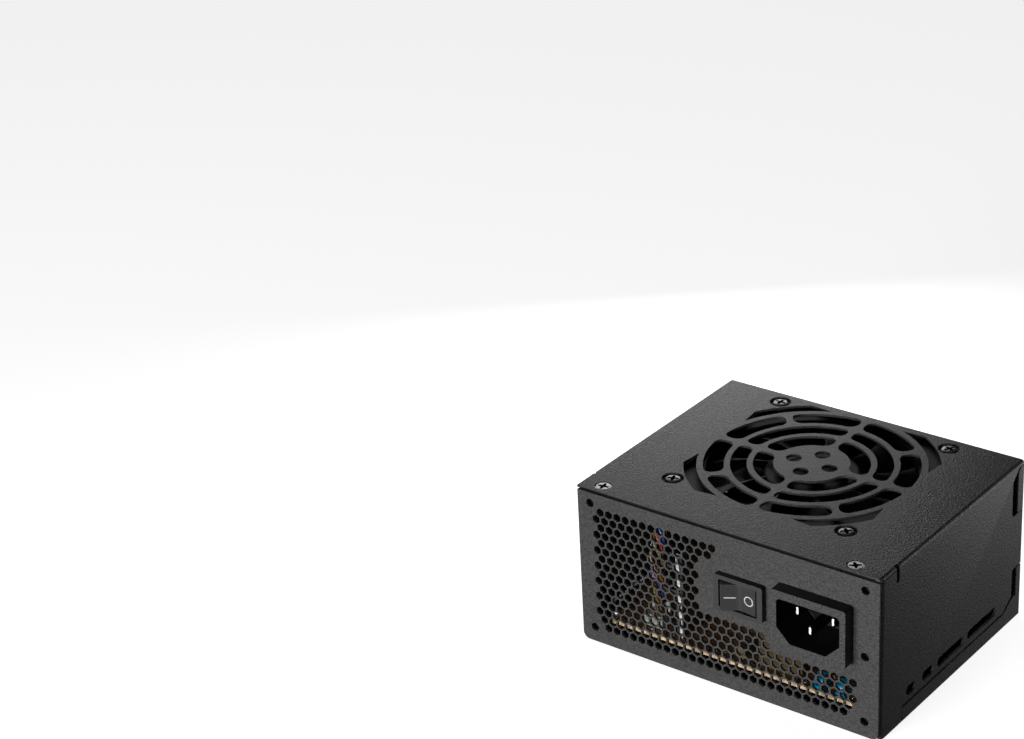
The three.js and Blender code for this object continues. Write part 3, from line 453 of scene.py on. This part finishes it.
def make_lights():
    middle = (0, 0, 0.05)
    make_light("key_back_left", (-0.17, 0.20, 0.14), (-0.01, 0.01, 0.06), (0.20, 0.12), 0.35)
    make_light("overhead", (-0.3, -0.1, 1.3), middle, (1.0, 1.0), 0.3)
    make_light("front_fill", (-0.10, -1.2, 0.15), middle, (0.7, 0.3), 19)
    make_light("right_back_rim", (0.19, 0.18, 0.03), (0.06, 0.05, 0.045), (0.08, 0.05), 0.22)
    world = bpy.data.worlds.new("studio")
    world.use_nodes = True
    world.node_tree.nodes["Background"].inputs["Color"].default_value = (1, 1, 1, 1)
    world.node_tree.nodes["Background"].inputs["Strength"].default_value = 0.03
    bpy.context.scene.world = world
    bpy.context.scene.view_settings.view_transform = "Standard"


# ---------------------------------------------------------------- top cover
FAN_CORNERS = [(FAN_X + sx * FAN_SCREW, FAN_Y + sy * FAN_SCREW)
               for sx, sy in ((-1, -1), (1, -1), (1, 1), (-1, 1))]
COVER_SCREWS = [(-53.3, -45.9), (50.2, -45.9)]


def ring_slot(inner, outer, slots, index):
    """A stretch of ring between two spokes of even width, with rounded ends."""
    step = 2 * math.pi / slots
    radius = (outer - inner) * 0.42

    def at(r, side, inset):
        spoke = math.asin(SPOKE / 2 / r)
        angle = index * step + (spoke + inset / r if side > 0 else step - spoke - inset / r)
        return (FAN_X + r * math.cos(angle), FAN_Y + r * math.sin(angle))

    def corner(r, side, start, stop):
        out = []
        for i in range(9):
            turn = math.radians(start + (stop - start) * i / 8)
            out.append(at(r + radius * math.sin(turn), side, radius * (1 - math.cos(turn))))
        return out

    def arc(r):
        low = index * step + math.asin(SPOKE / 2 / r) + radius / r
        high = (index + 1) * step - math.asin(SPOKE / 2 / r) - radius / r
        count = max(4, round(math.degrees(high - low) / 3))
        angles = [low + (high - low) * i / count for i in range(1, count)]
        return [(FAN_X + r * math.cos(a), FAN_Y + r * math.sin(a)) for a in angles]

    return (corner(inner + radius, 1, -90, 0)[::-1] + arc(inner) + corner(inner + radius, -1, -90, 0)
            + corner(outer - radius, -1, 0, 90) + arc(outer)[::-1] + corner(outer - radius, 1, 0, 90)[::-1])


def crescent(index):
    """The narrow opening outside the rings at each corner."""
    inner, outer = CRESCENT
    points = []
    for (r, end), flip in ((outer, False), (inner, True)):
        low = math.acos(end / r)
        high = math.pi / 2 - low
        for i in range(13):
            share = 1 - i / 12 if flip else i / 12
            angle = low + (high - low) * share + index * math.pi / 2
            points.append((FAN_X + r * math.cos(angle), FAN_Y + r * math.sin(angle)))
    return points


def cover_section():
    """The hood seen from the front: an upside-down U with bent top corners."""
    points = [(-HALF_W, 0), (-SIDE_IN, 0), (-SIDE_IN, TOP_IN), (SIDE_IN, TOP_IN), (SIDE_IN, 0), (HALF_W, 0)]
    for side, start in ((1, 0), (-1, 90)):
        for i in range(9):
            angle = math.radians(start + 90 * i / 8)
            points.append((side * (HALF_W - BEND) + BEND * math.cos(angle),
                           HEIGHT - BEND + BEND * math.sin(angle)))
    return points


def side_cutters(bm):
    """The front, the tray's seam and the rear notches in both sides, and the slots in the right side."""
    reach = HALF_W + 5
    front = [(-51, -1), (-47.4, -1), (-47.4, TOP_IN - 0.4), (-39, TOP_IN - 0.4), (-39, TOP_IN), (-51, TOP_IN)]
    seam = [(-35.3, -1), (51, -1), (51, 21.5), (44.6, 21.5), (43.9, 21.2), (43.5, 20.4), (43.5, 10.5),
            (37.3, SEAM_Z), (-35.3, SEAM_Z)]
    notch = [(42, 45.3), (42.25, 44.3), (42.9, 43.7), (43.8, 43.5), (51, 43.5), (51, 62.2), (46.6, 62.2),
             (42, 57.9)]
    for shape in (front, seam, notch):
        add_prism(bm, shape, "x", -reach, reach)
    for y0, y1 in SIDE_SLOTS:
        slot = rounded_rect((y0 + y1) / 2, SIDE_SLOT_Z, y1 - y0, SIDE_SLOT_H, SIDE_SLOT_CORNER)
        add_prism(bm, slot, "x", 0, reach)


def make_top_cover():
    bm = bmesh.new()
    add_prism(bm, cover_section(), "y", FRONT, BACK)
    cover = new_object("top_cover_fine", bm)
    bm = bmesh.new()
    side_cutters(bm)
    boolean(cover, bm)
    bm = bmesh.new()
    for side in (-1, 1):
        corner = [(side * PANEL_HALF_W, FRONT - 1), (side * PANEL_HALF_W, FRONT + 0.5),
                  (side * 62.1, FRONT + 1.2), (side * 62.6, -47.9), (side * 67, -47.9),
                  (side * 67, FRONT - 1)]
        add_prism(bm, corner, "z", TOP_IN - 0.1, HEIGHT + 1)
    boolean(cover, bm)
    relief = [(-38.9 + math.cos(math.pi * i / 8), 58 - math.sin(math.pi * i / 8)) for i in range(9)]
    relief += [(-39.9, HEIGHT + 1), (-37.9, HEIGHT + 1)]
    bm = bmesh.new()
    for side in (-1, 1):
        add_prism(bm, relief, "x", *sorted((side * (SIDE_IN - 0.3), side * (HALF_W + 5))))
    boolean(cover, bm)
    bm = bmesh.new()
    for x, y in FAN_CORNERS:
        add_turned(bm, [(0, TOP_IN - 1), (4.1, TOP_IN - 1), (4.7, TOP_IN + 0.1), (0, TOP_IN + 0.1)], x, y, 40)
    boolean(cover, bm, "UNION")
    bm = bmesh.new()
    for inner, outer, slots in RINGS:
        for i in range(slots):
            add_prism(bm, ring_slot(inner, outer, slots, i), "z", TOP_IN - 3, HEIGHT + 1)
    for i in range(4):
        add_prism(bm, crescent(i), "z", TOP_IN - 3, HEIGHT + 1)
        angle = i * math.pi / 2
        x = FAN_X + HUB_HOLE_RING * math.cos(angle)
        y = FAN_Y + HUB_HOLE_RING * math.sin(angle)
        add_prism(bm, circle(x, y, HUB_HOLE_R, 32), "z", TOP_IN - 3, HEIGHT + 1)
    boolean(cover, bm)
    bm = bmesh.new()
    for x, y in FAN_CORNERS:
        add_turned(bm, [(0, TOP_IN - 2), (2.1, TOP_IN - 2), (2.1, TOP_IN), (3.55, TOP_IN),
                        (3.75, TOP_IN + 0.3), (3.95, HEIGHT - 0.2), (4.25, HEIGHT + 0.1), (0, HEIGHT + 0.1)],
                   x, y, 40)
    for x, y in COVER_SCREWS:
        add_turned(bm, [(0, TOP_IN - 1), (1.8, TOP_IN - 1), (1.8, TOP_IN + 0.1), (2.8, HEIGHT - 0.32),
                        (3.15, HEIGHT - 0.32), (3.15, HEIGHT + 0.2), (0, HEIGHT + 0.2)], x, y, 40)
    boolean(cover, bm)
    bm = bmesh.new()
    edge = FRONT + BEND + SHEET + 0.3
    for side in (-1, 1):
        lip = [(side * HALF_W, edge + 0.1)]
        for i in range(9):
            angle = -math.pi / 2 * i / 8
            lip.append((side * (HALF_W - BEND + BEND * math.cos(angle)), edge + BEND * math.sin(angle)))
        lip += [(side * 58.8, edge - BEND), (side * 58.8, edge - BEND + SHEET),
                (side * (SIDE_IN - 0.3), edge - BEND + SHEET), (side * SIDE_IN, edge + 0.1)]
        add_prism(bm, lip, "z", 0, TOP_IN - 0.4)
    boolean(cover, bm, "UNION")
    bm = bmesh.new()
    under = [(FRONT - 1, TOP_IN - 0.2), (FRONT - 1, TOP_IN + 0.55), (FRONT, TOP_IN + 0.55),
             (FRONT + 1.4, TOP_IN), (FRONT + 1.4, TOP_IN - 0.2)]
    add_prism(bm, under, "x", -60.4, 60.4)
    boolean(cover, bm)
    soften(cover, 0.16)
    piece(cover, "coat", stands_for=("top_cover",))
    # The front bends of the sides get the darker copy of the coat: painted shade, not a different finish.
    cover.data.materials.append(LOOKS["coat_painted_shade"])
    for polygon in cover.data.polygons:
        on_shaded_bend = abs(polygon.normal.x) > 0.2 and polygon.normal.y < -0.3
        if on_shaded_bend and polygon.center.y < (edge + 0.1) * MM:
            polygon.material_index = 1


# ---------------------------------------------------------------- screws
CROSS_REACH = 2.1
CROSS_BAR = 1.25


def add_cross(bm, x, y, low, high, reach, bar):
    """A cross with tapering arms, each reaching as far as reach."""
    half = bar / 2
    tip = bar / 3
    add_prism(bm, [(x + a, y + b) for a, b in (
        (reach, -tip), (reach, tip), (half, half), (tip, reach), (-tip, reach), (-half, half),
        (-reach, tip), (-reach, -tip), (-half, -half), (-tip, -reach), (tip, -reach), (half, -half))],
        "z", low, high)


def make_screw(name, x, y, profile, recess, turn, look, rim):
    """A screw with a cross recess. The recess and whatever lies outside the rim radius are near black:
    painted shade.
    """
    bm = bmesh.new()
    add_turned(bm, profile, 0, 0, 36)
    screw = new_object(name + "_fine", bm)
    top = profile[-1][1]
    bm = bmesh.new()
    add_cross(bm, 0, 0, top - recess, top + 1, CROSS_REACH, CROSS_BAR)
    boolean(screw, bm)
    soften(screw, 0.07)
    place = Matrix.Translation(Vector((x, y, 0)) * MM)
    screw.data.transform(place @ Matrix.Rotation(math.radians(turn), 4, "Z"))
    piece(screw, look, stands_for=(name,))
    # The cross recess and the ring outside the rim get the near-black material: painted shade.
    screw.data.materials.append(LOOKS["painted_shade_black"])
    floor = (top - recess * 0.35) * MM
    for polygon in screw.data.polygons:
        away = math.hypot(polygon.center.x - x * MM, polygon.center.y - y * MM) / MM
        in_recess = away < CROSS_REACH + 0.1 and (top - recess - 0.1) * MM < polygon.center.z < floor
        if in_recess or away > rim:
            polygon.material_index = 1


def make_screws():
    seat = TOP_IN + 0.05
    pan = [(0, seat - 8.9), (1.4, seat - 8.9), (1.5, seat - 8.4), (1.5, seat), (2.95, seat),
           (2.98, seat + 0.25), (2.85, seat + 0.5), (2.45, seat + 0.75), (1.8, seat + 0.9), (0, seat + 0.94)]
    for i, (x, y) in enumerate(FAN_CORNERS):
        make_screw(f"fan_screw_{i + 1}", x, y, pan, 0.95, 20 + 23 * i, "screw_steel", 2.9)
    sunk = [(0, TOP_IN - 4.9), (1.2, TOP_IN - 4.9), (1.3, TOP_IN - 4.5), (1.3, TOP_IN - 0.2),
            (3.13, HEIGHT - 0.25), (2.62, HEIGHT - 0.25), (2.6, HEIGHT - 0.12), (0, HEIGHT - 0.06)]
    for i, (x, y) in enumerate(COVER_SCREWS):
        make_screw(f"cover_screw_{i + 1}", x, y, sunk, 0.8, 8 + 31 * i, "bright_screw", 2.62)


# ---------------------------------------------------------------- fan
HUB_R = 17.5
BLADES = 9
BLADE_TIP_R = 37.2
CUP_TOP = FAN_TOP - 0.8
CUP_BOTTOM = FAN_BOTTOM + 2.6


def add_blade(bm, angle):
    """One blade lofted outwards from the hub, with rounded leading and trailing edges."""
    stations, steps = 12, 12
    low, high = FAN_BOTTOM + 3.2, FAN_TOP - 0.9
    loops = []
    for s in range(stations + 1):
        share = s / stations
        radius = HUB_R - 0.8 + (BLADE_TIP_R - HUB_R + 0.8) * share
        sweep = math.radians(angle + 9 * share * share)
        span = math.radians(27 + 7 * share)
        rise = (high - low) * (1 - 0.12 * share)
        thickness = 1.5 - 0.5 * share
        loop = []
        for side in (-1, 1):
            for i in range(steps + 1):
                along = i / steps if side < 0 else 1 - i / steps
                if side > 0 and i in (0, steps):
                    continue
                camber = math.sin(math.pi * along) * 1.3
                half = thickness * 0.5 * math.sqrt(max(0.0, 1 - (2 * along - 1) ** 4))
                turn = sweep + span * (along - 0.5)
                z = low + rise * along + camber + side * half
                point = Vector((FAN_X + radius * math.cos(turn), FAN_Y + radius * math.sin(turn), z))
                loop.append(bm.verts.new(point * MM))
        loops.append(loop)
    faces = [bm.faces.new(loops[0]), bm.faces.new(loops[-1][::-1])]
    for a, b in zip(loops, loops[1:]):
        for i in range(len(a)):
            j = (i + 1) % len(a)
            faces.append(bm.faces.new((a[j], a[i], b[i], b[j])))
    bmesh.ops.recalc_face_normals(bm, faces=faces)


def make_impeller():
    bm = bmesh.new()
    cup = [(0, CUP_TOP - 1.4), (HUB_R - 1.6, CUP_TOP - 1.4), (HUB_R - 1.6, CUP_BOTTOM), (HUB_R, CUP_BOTTOM),
           (HUB_R, CUP_TOP - 1.4)]
    for i in range(1, 7):
        angle = math.radians(15 * i)
        cup.append((HUB_R - 1.4 + 1.4 * math.cos(angle), CUP_TOP - 1.4 + 1.4 * math.sin(angle)))
    cup += [(11.0, CUP_TOP), (10.7, CUP_TOP - 0.25), (0, CUP_TOP - 0.25)]
    add_turned(bm, cup, FAN_X, FAN_Y, 96)
    for i in range(BLADES):
        add_blade(bm, 14 + 40 * i)
    impeller = new_object("fan_impeller_fine", bm)
    soften(impeller, 0.12)
    piece(impeller, "fan_plastic", "fan_rotor", ("fan_impeller",))


# ---------------------------------------------------------------- rocker switch
ROCKER_BOX = box_of("switch_rocker")
BEZEL_BOX = box_of("switch_housing")
SWITCH_X = (BEZEL_BOX[0].x + BEZEL_BOX[1].x) / 2
SWITCH_Z = (BEZEL_BOX[0].z + BEZEL_BOX[1].z) / 2
PIVOT_Y = BEZEL_BOX[0].y + 2.9
ROCKER_R = 7.6
ROCKER_EDGE = 6.33
ROCKER_RISE = 2.0
ROCKER_SKIRT = 3.0
MARK_T = 3.65
MARK_RADII = (1.48, 1.92)
ROCKER_TILT = math.radians(-12)
DISH = math.tan(math.radians(19))


def rocker_point(across, out):
    """A point of the tilted rocker's section, from its own axes to x and y."""
    x = across * math.cos(ROCKER_TILT) - out * math.sin(ROCKER_TILT)
    y = out * math.cos(ROCKER_TILT) + across * math.sin(ROCKER_TILT)
    return (SWITCH_X + x, PIVOT_Y - y)


def rocker_surface(across):
    """How far the dished top stands out from the pivot, with a softened valley."""
    return ROCKER_RISE + DISH * (math.sqrt(across * across + 0.4) - 0.03)


def make_rocker():
    edge = ROCKER_EDGE
    top = math.atan2(rocker_surface(edge), edge)
    bottom = -math.asin(ROCKER_SKIRT / ROCKER_R)
    angles = [bottom + (top - bottom) * i / 14 for i in range(15)]
    side = [(ROCKER_R * math.cos(angle), ROCKER_R * math.sin(angle)) for angle in angles]
    face = [(-edge + 2 * edge * i / 24, rocker_surface(-edge + 2 * edge * i / 24)) for i in range(1, 24)]
    section = side + face[::-1] + [(-t, n) for t, n in side[::-1]]
    half = (ROCKER_BOX[1].z - ROCKER_BOX[0].z) / 2
    bm = bmesh.new()
    add_prism(bm, [rocker_point(t, n) for t, n in section], "z", SWITCH_Z - half, SWITCH_Z + half)
    rocker = new_object("switch_rocker_fine", bm)
    soften(rocker, 0.3, 3)
    piece(rocker, "rocker_plastic", "rocker", ("switch_rocker",))


def make_marks():
    """The printed line and ring, thin raised prints that lie on the dished faces."""
    lift = 0.035

    def on_face(t, z):
        x, y = rocker_point(t, rocker_surface(t) + lift)
        return Vector((x, y, SWITCH_Z + z)) * MM

    def under(t, z):
        x, y = rocker_point(t, rocker_surface(t) - lift)
        return Vector((x, y, SWITCH_Z + z)) * MM

    def add_band(bm, inner, outer, closed):
        upper = [[bm.verts.new(on_face(*p)) for p in line] for line in (inner, outer)]
        lower = [[bm.verts.new(under(*p)) for p in line] for line in (inner, outer)]
        count = len(inner)
        faces = []
        for i in range(count if closed else count - 1):
            j = (i + 1) % count
            faces.append(bm.faces.new((upper[0][i], upper[0][j], upper[1][j], upper[1][i])))
            faces.append(bm.faces.new((lower[1][i], lower[1][j], lower[0][j], lower[0][i])))
            for row in (0, 1):
                faces.append(bm.faces.new((upper[row][j], upper[row][i], lower[row][i], lower[row][j])))
        if not closed:
            for i in (0, count - 1):
                faces.append(bm.faces.new((upper[0][i], upper[1][i], lower[1][i], lower[0][i])))
        bmesh.ops.recalc_face_normals(bm, faces=faces)

    bm = bmesh.new()
    line = [-5.3 + 4.0 * i / 8 for i in range(9)]
    add_band(bm, [(t, -0.22) for t in line], [(t, 0.22) for t in line], False)
    piece(new_object("rocker_mark_line", bm), "mark_print", "rocker")
    bm = bmesh.new()
    angles = [2 * math.pi * i / 40 for i in range(40)]
    rings = [[(MARK_T + r * math.cos(a), r * math.sin(a)) for a in angles] for r in MARK_RADII]
    add_band(bm, rings[0], rings[1], True)
    piece(new_object("rocker_mark_ring", bm), "mark_print", "rocker")


# ---------------------------------------------------------------- parts on the board
def middle_of(node):
    """A node's middle, low corner and high corner."""
    low, high = box_of(node)
    return (low + high) / 2, low, high


def make_can(node, groove):
    """An electrolytic capacitor: a shrink sleeve, a crimped neck low down, and a scored metal top."""
    mid, low, high = middle_of(node)
    radius = (high.y - low.y) / 2
    bm = bmesh.new()
    add_turned(bm, [(0, low.z), (radius * 0.93, low.z), (radius, low.z + 0.5), (radius, low.z + groove - 1),
                    (radius * 0.94, low.z + groove - 0.3), (radius * 0.94, low.z + groove + 0.3),
                    (radius, low.z + groove + 1), (radius, high.z - 1.0), (radius * 0.97, high.z - 0.3),
                    (radius * 0.86, high.z), (radius * 0.80, high.z), (radius * 0.78, high.z - 0.25),
                    (0, high.z - 0.25)],
               mid.x, mid.y, 64)
    can = new_object(node + "_fine", bm)
    soften(can, 0.05, 1, 60)
    piece(can, "can_sleeve", stands_for=(node,))
    bm = bmesh.new()
    disc = [(0, high.z - 0.24), (radius * 0.77, high.z - 0.24), (radius * 0.77, high.z - 0.1),
            (0, high.z - 0.1)]
    add_turned(bm, disc, mid.x, mid.y, 48)
    top = new_object(node + "_top", bm)
    bm = bmesh.new()
    add_cross(bm, mid.x, mid.y, high.z - 0.16, high.z + 1, radius * 0.6, 0.5)
    boolean(top, bm)
    piece(top, "can_top")


def make_choke(node, inner, turns, wire):
    """A ring core with its winding: round wire laid turn by turn over the core."""
    mid, low, high = middle_of(node)
    outer = (high.x - low.x) / 2
    half = (high.z - low.z) / 2
    depth = (outer - inner) / 2
    ring = (outer + inner) / 2
    bm = bmesh.new()
    inset = wire * 2 + 0.1
    core = [(inner + inset, mid.z - half + inset), (outer - inset, mid.z - half + inset),
            (outer - inset, mid.z + half - inset), (inner + inset, mid.z + half - inset),
            (inner + inset, mid.z - half + inset)]
    add_turned(bm, core, mid.x, mid.y, 64)
    body = new_object(node + "_core", bm)
    soften(body, 0.5)
    piece(body, "ferrite")
    bm = bmesh.new()
    for i in range(turns):
        angle = 2 * math.pi * i / turns
        loop = []
        for k in range(28):
            turn = 2 * math.pi * k / 27
            power = 0.55
            across = math.copysign(abs(math.cos(turn)) ** power, math.cos(turn)) * (depth - wire)
            along = math.copysign(abs(math.sin(turn)) ** power, math.sin(turn)) * (half - wire)
            swing = angle + (k / 27 - 0.5) * 2 * math.pi / turns * 0.5
            radius = ring + across
            loop.append((mid.x + radius * math.cos(swing), mid.y + radius * math.sin(swing), mid.z + along))
        add_tube(bm, loop, wire, 8)
    winding = new_object(node + "_winding", bm)
    for polygon in winding.data.polygons:
        polygon.use_smooth = True
    piece(winding, "copper", stands_for=(node,))


WIRE_R = 0.9
STRAND_R = 0.62
FAN_ROUTE = [(-33, -33.8, 54), (-34.5, -37.5, 48), (-35.5, -39.5, 38), (-35, -39.5, 26), (-36, -38.5, 15),
             (-36.5, -38, 8.2)]


def make_leads():
    """The wires behind the inlet and the switch, and the twisted coloured bundle that feeds the fan."""
    routes = {
        "line_lead": ("black_wire", [(30.2, -32.6, 41.4), (29.6, -29, 41.6), (25, -26, 41), (16, -26.5, 40.4),
                                     (11.6, -28, 40), (11.4, -30.2, 39.8)]),
        "neutral_lead": ("blue_wire", [(44.2, -32.6, 41.4), (44.6, -28.6, 40.5), (48.5, -25.5, 34),
                                       (51, -25.5, 22), (51, -26, 8.2)]),
        "earth_lead": ("green_wire", [(37.2, -32.6, 37.4), (36.4, -28.4, 36), (31, -23.5, 30),
                                      (28.5, -22, 20), (28.5, -22, 8.2)]),
    }
    for name, (look, points) in routes.items():
        bm = bmesh.new()
        add_tube(bm, smooth_path(points), WIRE_R, 14)
        lead = new_object(name + "_fine", bm)
        for polygon in lead.data.polygons:
            polygon.use_smooth = len(polygon.vertices) == 4
        piece(lead, look, stands_for=(name,))
    route = smooth_path(FAN_ROUTE, 12)
    strands = (("red_wire", "fan_lead"), ("blue_wire", None), ("orange_wire", None), ("black_wire", None),
               ("olive_wire", None))
    for number, (look, node) in enumerate(strands):
        points = []
        for i, point in enumerate(route):
            angle = 2 * math.pi * (i / 22 + number / len(strands))
            spread = 0.9 + 1.6 * math.sin(math.pi * min(1, i / 48))
            points.append(point + Vector((math.cos(angle) * spread, math.sin(angle) * 0.9, 0)))
        bm = bmesh.new()
        add_tube(bm, points, STRAND_R, 10)
        strand = new_object(f"fan_lead_{look}", bm)
        for polygon in strand.data.polygons:
            polygon.use_smooth = len(polygon.vertices) == 4
        piece(strand, look, stands_for=(node,) if node else ())


def make_board():
    """The laminate, its pale cut front edge, lightened further as a painted highlight, and solder joints near
    that edge.
    """
    refine("main_board", "board", 0.08)
    low, high = BOARD_BOX
    bm = bmesh.new()
    add_prism(bm, [(low.y - 0.02, low.z + 0.1), (low.y + 0.2, low.z + 0.1), (low.y + 0.2, high.z - 0.05),
                   (low.y - 0.02, high.z - 0.05)], "x", low.x + 0.4, high.x - 0.4)
    edge = new_object("main_board_edge", bm)
    # The strip's brightness is partly the cut edge's own colour, partly painted highlight.
    piece(edge, "board_edge_and_highlight")
    bm = bmesh.new()
    spots = [(-49 + 3.1 * i, low.y + 1.6 + 1.1 * ((i * 7) % 3)) for i in range(32)]
    for x, y in spots:
        add_turned(bm, [(0, high.z + 0.02), (0.75, high.z + 0.02), (0.6, high.z + 0.22),
                        (0.25, high.z + 0.45), (0.2, high.z + 1.1), (0, high.z + 1.15)], x, y, 16)
    joints = new_object("main_board_joints", bm)
    for polygon in joints.data.polygons:
        polygon.use_smooth = True
    piece(joints, "solder")


def make_collars():
    """The blind collars behind the front panel's mounting holes, near black so that the holes show painted
    shade, and a near-black strip along its top, painted shade in the gap under the cover.
    """
    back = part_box("front_panel")[1].y / MM
    bm = bmesh.new()
    for x, z in MOUNT_HOLES:
        add_prism(bm, circle(x, z, 2.15, 32), "y", back - 0.05, back + 1.9)
    collars = new_object("panel_collars", bm)
    bm = bmesh.new()
    for x, z in MOUNT_HOLES:
        add_prism(bm, circle(x, z, MOUNT_HOLE_R, 32), "y", back - 1, back + 1.5)
    boolean(collars, bm)
    # The collars' closed ends are near black: painted shade in the holes.
    piece(collars, "painted_shade_black")
    bm = bmesh.new()
    # A near-black strip behind the gap under the cover's front edge: painted shade, no real part.
    add_box(bm, -60.5, 60.5, back + 0.1, back + 0.9, TOP_IN - 2.2, TOP_IN - 0.02)
    piece(new_object("panel_top_painted_shade", bm), "painted_shade_black")


def make_small_parts():
    """A bright strip along the heatsink's front edge as painted highlight, the fan lead's plug in a grey that
    is partly painted shade, and the pins' tips as painted highlight.
    """
    low, high = box_of("secondary_heatsink")
    bm = bmesh.new()
    add_prism(bm, [(high.x - 1.5, low.z + 0.2), (high.x - 0.3, low.z + 0.2), (high.x - 1.6, high.z - 0.3),
                   (high.x - 2.8, high.z - 0.3)], "y", low.y - 0.05, low.y + 0.2)
    # A bright strip on the heatsink's front edge: painted highlight.
    piece(new_object("secondary_heatsink_edge", bm), "edge_painted_glint")
    bm = bmesh.new()
    add_box(bm, -40.5, -32.5, -41.5, -35.5, SEAT, SEAT + 5)
    add_box(bm, -40.5, -32.5, -36.4, -35.5, SEAT + 5, SEAT + 9)
    plug = new_object("fan_plug", bm)
    soften(plug, 0.25)
    # The plug's grey is its pale nylon darkened by painted shade.
    piece(plug, "nylon_painted_shade")
    for pin in ("line", "neutral", "earth"):
        mid, low, high = middle_of(f"inlet_pin_{pin}")
        bm = bmesh.new()
        add_prism(bm, rounded_rect(mid.x, mid.z, 0.8, 2.7, 0.3, 4), "y", low.y - 0.06, low.y + 0.3)
        # Near-white tips on the pins: painted highlight.
        piece(new_object(f"inlet_pin_{pin}_tip", bm), "pin_painted_glint")


# ---------------------------------------------------------------- the whole object
def make_object():
    make_top_cover()
    make_screws()
    make_impeller()
    make_rocker()
    make_marks()
    refine("front_panel", "coat", 0.12, merge_flats=False)
    refine("base_tray", "coat", 0.16, merge_flats=False)
    refine("fan_frame", "fan_plastic", 0.3)
    # The sides and wells of these mouldings get the darker copy: painted shade.
    paint_shade_on_sides(refine("inlet_housing", "inlet_plastic", 0.28, segments=3))
    paint_shade_on_sides(refine("switch_housing", "switch_plastic", 0.28, segments=3))
    refine("cable_grommet", "grommet_plastic", 0.3, segments=3)
    for pin in ("line", "neutral", "earth"):
        # The pins get the near-black metal: painted shade.
        refine(f"inlet_pin_{pin}", "pin_metal", 0.12)
    make_board()
    make_collars()
    make_small_parts()
    make_leads()
    make_choke("output_choke", 5.5, 26, 0.55)
    make_choke("common_mode_choke", 4.0, 20, 0.5)
    make_can("bulk_capacitor", 3.2)
    for i in range(4):
        make_can(f"output_capacitor_{i + 1}", 2.2)
    fixings = [f"board_{kind}_{i}" for kind in ("standoff", "screw") for i in (1, 2, 3, 4)]
    plain = {
        "zinc": ["cover_bracket_1", "cover_bracket_2", "fan_shaft", "rocker_axle", "switch_terminal_1",
                 "switch_terminal_2", *fixings],
        "ferrite": ["fan_magnet_ring", "transformer_core"],
        "copper": ["fan_bearing", "fan_stator"],
        "heatsink": ["primary_heatsink", "secondary_heatsink"],
        "yellow_tape": ["transformer_winding"],
        "film_case_painted_shade": ["x_capacitor"],
        "blue_epoxy": ["y_capacitor_1", "y_capacitor_2"],
        "black_epoxy": ["bridge_rectifier", "power_transistor"],
        "insulation": ["insulation_sheet"],
        "fuse_sleeve": ["fuse"],
        "board": ["converter_board"],
    }
    rotor = ("fan_shaft", "fan_magnet_ring")
    for look, nodes in plain.items():
        for node in nodes:
            refine(node, look, 0.15, "fan_rotor" if node in rotor else "chassis")


make_camera()
make_floor()
make_lights()
make_object()
